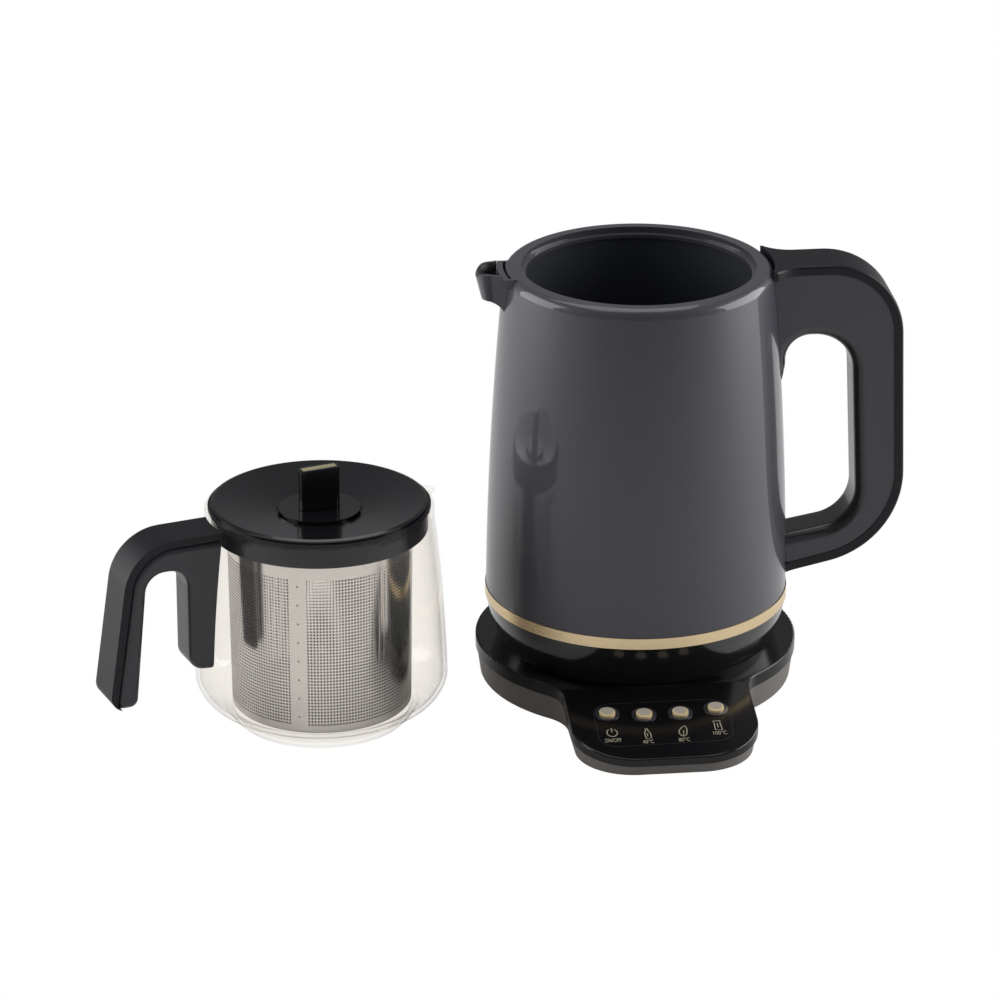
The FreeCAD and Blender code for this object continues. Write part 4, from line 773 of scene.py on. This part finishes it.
plain_points, plain_faces = joined(
    [
        turned_ring(upper, axis_spot, 0.0, math.tau, ROUND_STEPS),
        turned_ring(lower, axis_spot, 0.0, math.tau, ROUND_STEPS),
        turned_ring(seam, axis_spot, seam_turn - seam_half, seam_turn + seam_half, SEAM_STEPS),
    ]
)
basket_plain = new_piece("basket_plain", plain_points, plain_faces, steel)
basket_plain.data.shade_smooth()
basket_plain.data.set_sharp_from_angle(angle=math.radians(35.0))
print("plain bands:", len(plain_faces), "faces")

# %% [markdown]
# The sheet is closed by a row of spot welds along the seam: small flat domes, about a centimetre apart. They
# repeat, so Geometry Nodes places them too: a line of points, and one flattened ball on each.

# %% Geometry Nodes: a row of spot welds
weld_nodes = bpy.data.node_groups.new("Weld row", "GeometryNodeTree")
weld_inputs = {}
for label, kind in (
    ("Count", "NodeSocketInt"),
    ("Start", "NodeSocketVector"),
    ("Step", "NodeSocketVector"),
    ("Turn", "NodeSocketFloat"),
    ("Radius", "NodeSocketFloat"),
    ("Finish", "NodeSocketMaterial"),
):
    weld_inputs[label] = weld_nodes.interface.new_socket(name=label, in_out="INPUT", socket_type=kind)
weld_nodes.interface.new_socket(name="Geometry", in_out="OUTPUT", socket_type="NodeSocketGeometry")
weld_in = node(weld_nodes, "NodeGroupInput")
weld_out = node(weld_nodes, "NodeGroupOutput")
weld_line = node(weld_nodes, "GeometryNodeMeshLine")
weld_dome = node(weld_nodes, "GeometryNodeMeshUVSphere")
weld_dome.inputs["Segments"].default_value = 12
weld_dome.inputs["Rings"].default_value = 6
weld_flat = node(weld_nodes, "GeometryNodeTransform")
weld_flat.inputs["Scale"].default_value = (0.12, 1.0, 1.0)
weld_euler = node(weld_nodes, "ShaderNodeCombineXYZ")
weld_instance = node(weld_nodes, "GeometryNodeInstanceOnPoints")
weld_real = node(weld_nodes, "GeometryNodeRealizeInstances")
weld_finish = node(weld_nodes, "GeometryNodeSetMaterial")
weld_link = weld_nodes.links.new
weld_link(weld_in.outputs["Count"], weld_line.inputs["Count"])
weld_link(weld_in.outputs["Start"], weld_line.inputs["Start Location"])
weld_link(weld_in.outputs["Step"], weld_line.inputs["Offset"])
weld_link(weld_in.outputs["Radius"], weld_dome.inputs["Radius"])
weld_link(weld_dome.outputs["Mesh"], weld_flat.inputs["Geometry"])
weld_link(weld_in.outputs["Turn"], weld_euler.inputs[2])
weld_link(weld_line.outputs["Mesh"], weld_instance.inputs["Points"])
weld_link(weld_flat.outputs[0], weld_instance.inputs["Instance"])
weld_link(weld_euler.outputs[0], weld_instance.inputs["Rotation"])
weld_link(weld_instance.outputs[0], weld_real.inputs[0])
weld_link(weld_real.outputs[0], weld_finish.inputs["Geometry"])
weld_link(weld_in.outputs["Finish"], weld_finish.inputs["Material"])
weld_link(weld_finish.outputs[0], weld_out.inputs["Geometry"])
print("tree:", weld_nodes.name, "with", len(weld_inputs), "inputs")

# %% The row of welds on the seam
WELDS = 8
WELD_RADIUS = 0.7 * MM
WELD_PROUD = 0.02 * MM
weld_low = holes_low + 5 * MM
weld_high = holes_high - 4 * MM


def on_seam(z, proud=0.0):
    """A point of the seam's middle line, raised from the sheet by proud."""
    reach = radius_at(z) + proud
    return Vector((axis_spot[0] + reach * math.cos(seam_turn), axis_spot[1] + reach * math.sin(seam_turn), z))


weld_step = (on_seam(weld_high) - on_seam(weld_low)) / (WELDS - 1)
basket_welds = grown(
    "basket_welds",
    weld_nodes,
    weld_inputs,
    {
        "Count": WELDS,
        "Start": tuple(on_seam(weld_low, WELD_PROUD)),
        "Step": tuple(weld_step),
        "Turn": seam_turn,
        "Radius": WELD_RADIUS,
        "Finish": zinc,
    },
    zinc,
)
for part in (basket_sheet, basket_plain, basket_welds):
    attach(part, "infuser")
    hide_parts("infuser_basket")
print("welds:", WELDS, "with", round(weld_step.z / MM, 1), "mm between them")

# %% [markdown]
# ## Markings on the console
#
# Under each button a thin printed icon and a word say what it does: power, a bottle for 40 degrees, a
# leaf for 80 and a cup for 100. They are flat ribbons just above the sloping face. Print has no real
# thickness, so a texture could do the same, but drawn shapes stay sharp at any size.

# %% The sloping face as a drawing board
FACE_DROP, FACE_RUN = 11.2, 66.0
FACE_TOP_Y, FACE_TOP_Z = -74.0, 23.0
slope = math.atan2(FACE_DROP, FACE_RUN)
print_lift = 0.04 * MM


def on_console(x, y):
    """A point of the console's face from its x and y in millimetres."""
    down = -(y - FACE_TOP_Y) * MM
    return (x * MM, y * MM, FACE_TOP_Z * MM - down * math.tan(slope) + print_lift)


def ribbon(line, width, closed=False):
    """A flat band along a line of (x, y) points in millimetres."""
    count = len(line)
    points, faces = [], []
    for index in range(count):
        before = line[index - 1] if index or closed else line[index]
        after = line[(index + 1) % count] if index < count - 1 or closed else line[index]
        run = Vector((after[0] - before[0], after[1] - before[1]))
        side = Vector((-run.y, run.x)).normalized() * width / 2
        points.append(on_console(line[index][0] - side.x, line[index][1] - side.y))
        points.append(on_console(line[index][0] + side.x, line[index][1] + side.y))
    for index in range(count if closed else count - 1):
        here, after = 2 * index, 2 * ((index + 1) % count)
        faces.append((here, after, after + 1, here + 1))
    return points, faces


def arc(x, y, rx, ry, first, last, steps):
    """Points of an ellipse's arc round (x, y), between two angles in degrees."""
    line = []
    for index in range(steps + 1):
        turn = math.radians(first + (last - first) * index / steps)
        line.append((x + rx * math.cos(turn), y + ry * math.sin(turn)))
    return line


def shifted(line, spot):
    """The line moved so that its own zero comes to the spot."""
    return [(spot[0] + point[0], spot[1] + point[1]) for point in line]


print("the console slopes by", round(math.degrees(slope), 1), "degrees")

# %% Icons
STROKE = 0.55
THIN_STROKE = STROKE * 0.8
POWER_X, POWER_Y = -28.2, -115.0
POWER_WIDE, POWER_TALL = 2.7, 3.3
OPEN_FROM, OPEN_TO = 118, 422
BAR_TOP, BAR_FOOT = -110.6, -114.6
power_icon = [
    ribbon(arc(POWER_X, POWER_Y, POWER_WIDE, POWER_TALL, OPEN_FROM, OPEN_TO, 28), STROKE),
    ribbon([(POWER_X, BAR_TOP), (POWER_X, BAR_FOOT)], STROKE),
]
BOTTLE_SPOT = (-10.0, -117.4)
bottle = [(-1.3, -4.2), (1.5, -4.0), (1.4, 0.4), (0.6, 2.4)]
bottle += [(0.2, 4.8), (-0.7, 4.6), (-0.8, 2.4), (-1.6, 0.4)]
bottle_label = [(-0.2, -2.4), (-0.3, 0.6)]
bottle_icon = [
    ribbon(shifted(bottle, BOTTLE_SPOT), STROKE, closed=True),
    ribbon(shifted(bottle_label, BOTTLE_SPOT), THIN_STROKE),
]
LEAF_SPOT = (8.5, -117.2)
leaf = [(1.7, 5.4), (-0.4, 3.8), (-1.9, 1.4), (-2.2, -1.2), (-1.3, -3.2)]
leaf += [(0.2, -3.8), (1.5, -2.4), (2.1, 0.6), (2.2, 3.2)]
leaf_vein = [(-0.5, -4.2), (-0.1, -1.8), (0.5, 1.2)]
leaf_icon = [
    ribbon(shifted(leaf, LEAF_SPOT), STROKE, closed=True),
    ribbon(shifted(leaf_vein, LEAF_SPOT), THIN_STROKE),
]
CUP_SPOT = (27.2, -113.0)
cup = [(-2.1, 4.0), (-1.6, 2.2), (-1.8, -3.6), (1.9, -4.0), (1.5, 2.0), (1.7, 4.2)]
cup_mark = [(0.0, -1.8), (-0.1, 2.2)]
cup_icon = [
    ribbon(shifted(cup, CUP_SPOT), STROKE, closed=True),
    ribbon(shifted(cup_mark, CUP_SPOT), THIN_STROKE),
]
icon_points, icon_faces = joined(power_icon + bottle_icon + leaf_icon + cup_icon)
console_icons = new_piece("console_icons", icon_points, icon_faces, print_gold)
print("icon faces:", len(icon_faces))


# %% Words
TALL = 3.3


def word(name, text, x, y, wide):
    """A word laid on the console, centred on x and y, as a plain mesh."""
    curve = bpy.data.curves.new("word", "FONT")
    curve.body = text
    curve.align_x = "CENTER"
    curve.size = 1.0
    source = bpy.data.objects.new("word", curve)
    bpy.context.scene.collection.objects.link(source)
    bpy.context.view_layer.update()
    made = evaluated_copy(source, name)
    bpy.data.objects.remove(source)
    letters = made.data.vertices
    span = max(point.co.x for point in letters) - min(point.co.x for point in letters)
    rise = max(point.co.y for point in letters)
    for point in letters:
        flat = (x + point.co.x * wide / span, y + (point.co.y / rise - 0.5) * TALL)
        point.co = on_console(flat[0], flat[1])
    made.data.materials.clear()
    made.data.materials.append(print_gold)
    return made


words = [
    word("word_power", "ON/OFF", -28.6, -121.7, 8.6),
    word("word_40", "40°C", -10.6, -124.3, 5.8),
    word("word_80", "80°C", 8.1, -124.0, 5.8),
    word("word_100", "100°C", 27.2, -119.5, 7.2),
]
print("words:", len(words))

# %% The faint line round the button field
CORNER = 9.0
CORNER_STEPS = 8
FIELD_LINE = 0.35
FIELD_LEFT, FIELD_RIGHT = -26.5, 25.5
FIELD_BACK = -98.0
FIELD_FRONT_LEFT, FIELD_FRONT_RIGHT = -118.6, -117.6
field = (
    arc(FIELD_RIGHT, FIELD_BACK, CORNER, CORNER, 0, 90, CORNER_STEPS)
    + arc(FIELD_LEFT, FIELD_BACK, CORNER, CORNER, 90, 180, CORNER_STEPS)
    + arc(FIELD_LEFT, FIELD_FRONT_LEFT, CORNER, CORNER, 180, 270, CORNER_STEPS)
    + arc(FIELD_RIGHT, FIELD_FRONT_RIGHT, CORNER, CORNER, 270, 360, CORNER_STEPS)
)
field_points, field_faces = ribbon(field, FIELD_LINE, closed=True)
panel = new_piece("console_panel_line", field_points, field_faces, panel_line)
for part in [console_icons, panel] + words:
    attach(part, "base")
print("field line:", len(field), "points")

# %% [markdown]
# ## Light
#
# The photograph has a white ground and no shadow, so the world is white to the camera and through the
# glass. To every other ray it is a soft grey. Broad lights stand at the right and the left, a little
# behind, which leaves the jacket dark in front and lighter towards its sides. A third one hangs above.

# %% World
SOFT_LIGHT = 0.19
world = bpy.data.worlds.new("studio")
bpy.context.scene.world = world
world.use_nodes = True
world_tree = world.node_tree
world_tree.nodes.clear()
seen = node(world_tree, "ShaderNodeBackground")
seen.inputs["Color"].default_value = (1.0, 1.0, 1.0, 1.0)
soft = node(world_tree, "ShaderNodeBackground")
soft.inputs["Color"].default_value = (0.96, 0.97, 1.0, 1.0)
soft.inputs["Strength"].default_value = SOFT_LIGHT
path = node(world_tree, "ShaderNodeLightPath")
either = math_node(world_tree, "MAXIMUM", path.outputs["Is Camera Ray"], path.outputs["Is Transmission Ray"])
mixed = node(world_tree, "ShaderNodeMixShader")
world_out = node(world_tree, "ShaderNodeOutputWorld")
world_tree.links.new(either, mixed.inputs[0])
world_tree.links.new(soft.outputs[0], mixed.inputs[1])
world_tree.links.new(seen.outputs[0], mixed.inputs[2])
world_tree.links.new(mixed.outputs[0], world_out.inputs[0])
bpy.context.scene.view_settings.view_transform = "Standard"
print("world:", world.name, "with a soft light of", SOFT_LIGHT)


# %% Lamps
def soft_lamp(name, spot, aim, width, height, power):
    """A broad lamp at a spot, turned to its aim, that the camera doesn't see."""
    data = bpy.data.lights.new(name, "AREA")
    data.shape = "RECTANGLE"
    data.size = width
    data.size_y = height
    data.energy = power
    lamp = bpy.data.objects.new(name, data)
    bpy.context.scene.collection.objects.link(lamp)
    lamp.location = spot
    lamp.rotation_euler = (Vector(aim) - Vector(spot)).to_track_quat("-Z", "Y").to_euler()
    lamp.visible_camera = False


soft_lamp("right_wall", spot=(1.5, 0.1, 0.5), aim=(0.0, 0.0, 0.12), width=1.6, height=1.4, power=27.0)
soft_lamp("left_wall", spot=(-1.6, 0.3, 0.6), aim=(-0.1, 0.0, 0.12), width=1.4, height=1.4, power=19.0)
soft_lamp("overhead", spot=(-0.1, 0.3, 1.7), aim=(-0.05, 0.0, 0.1), width=1.4, height=1.2, power=9.0)
print("lamps:", len(bpy.data.lights))

# %% [markdown]
# The object stands on something white, which lights it from below and shows in its glossy sides. But the
# photograph has no visible table, so the camera doesn't see this one.

# %% A white table that only the reflections and the bounced light see
TABLE_HALF = 2.0
TABLE_TOP = -2.0 * MM
table_corners = [(-1, -1), (1, -1), (1, 1), (-1, 1)]
table_mesh = bpy.data.meshes.new("table")
table_points = [(x * TABLE_HALF, y * TABLE_HALF, TABLE_TOP) for x, y in table_corners]
table_mesh.from_pydata(table_points, [], [(0, 1, 2, 3)])
table = bpy.data.objects.new("table", table_mesh)
bpy.context.scene.collection.objects.link(table)
table_white = finish("table_white", (0.85, 0.85, 0.85), dark=0.99, roughness=0.8, spread=0.02, scale=200.0,
                     bump=0.0)
table_mesh.materials.append(table_white)
table.visible_camera = False
table.visible_transmission = False
print("table top at", TABLE_TOP / MM, "mm")
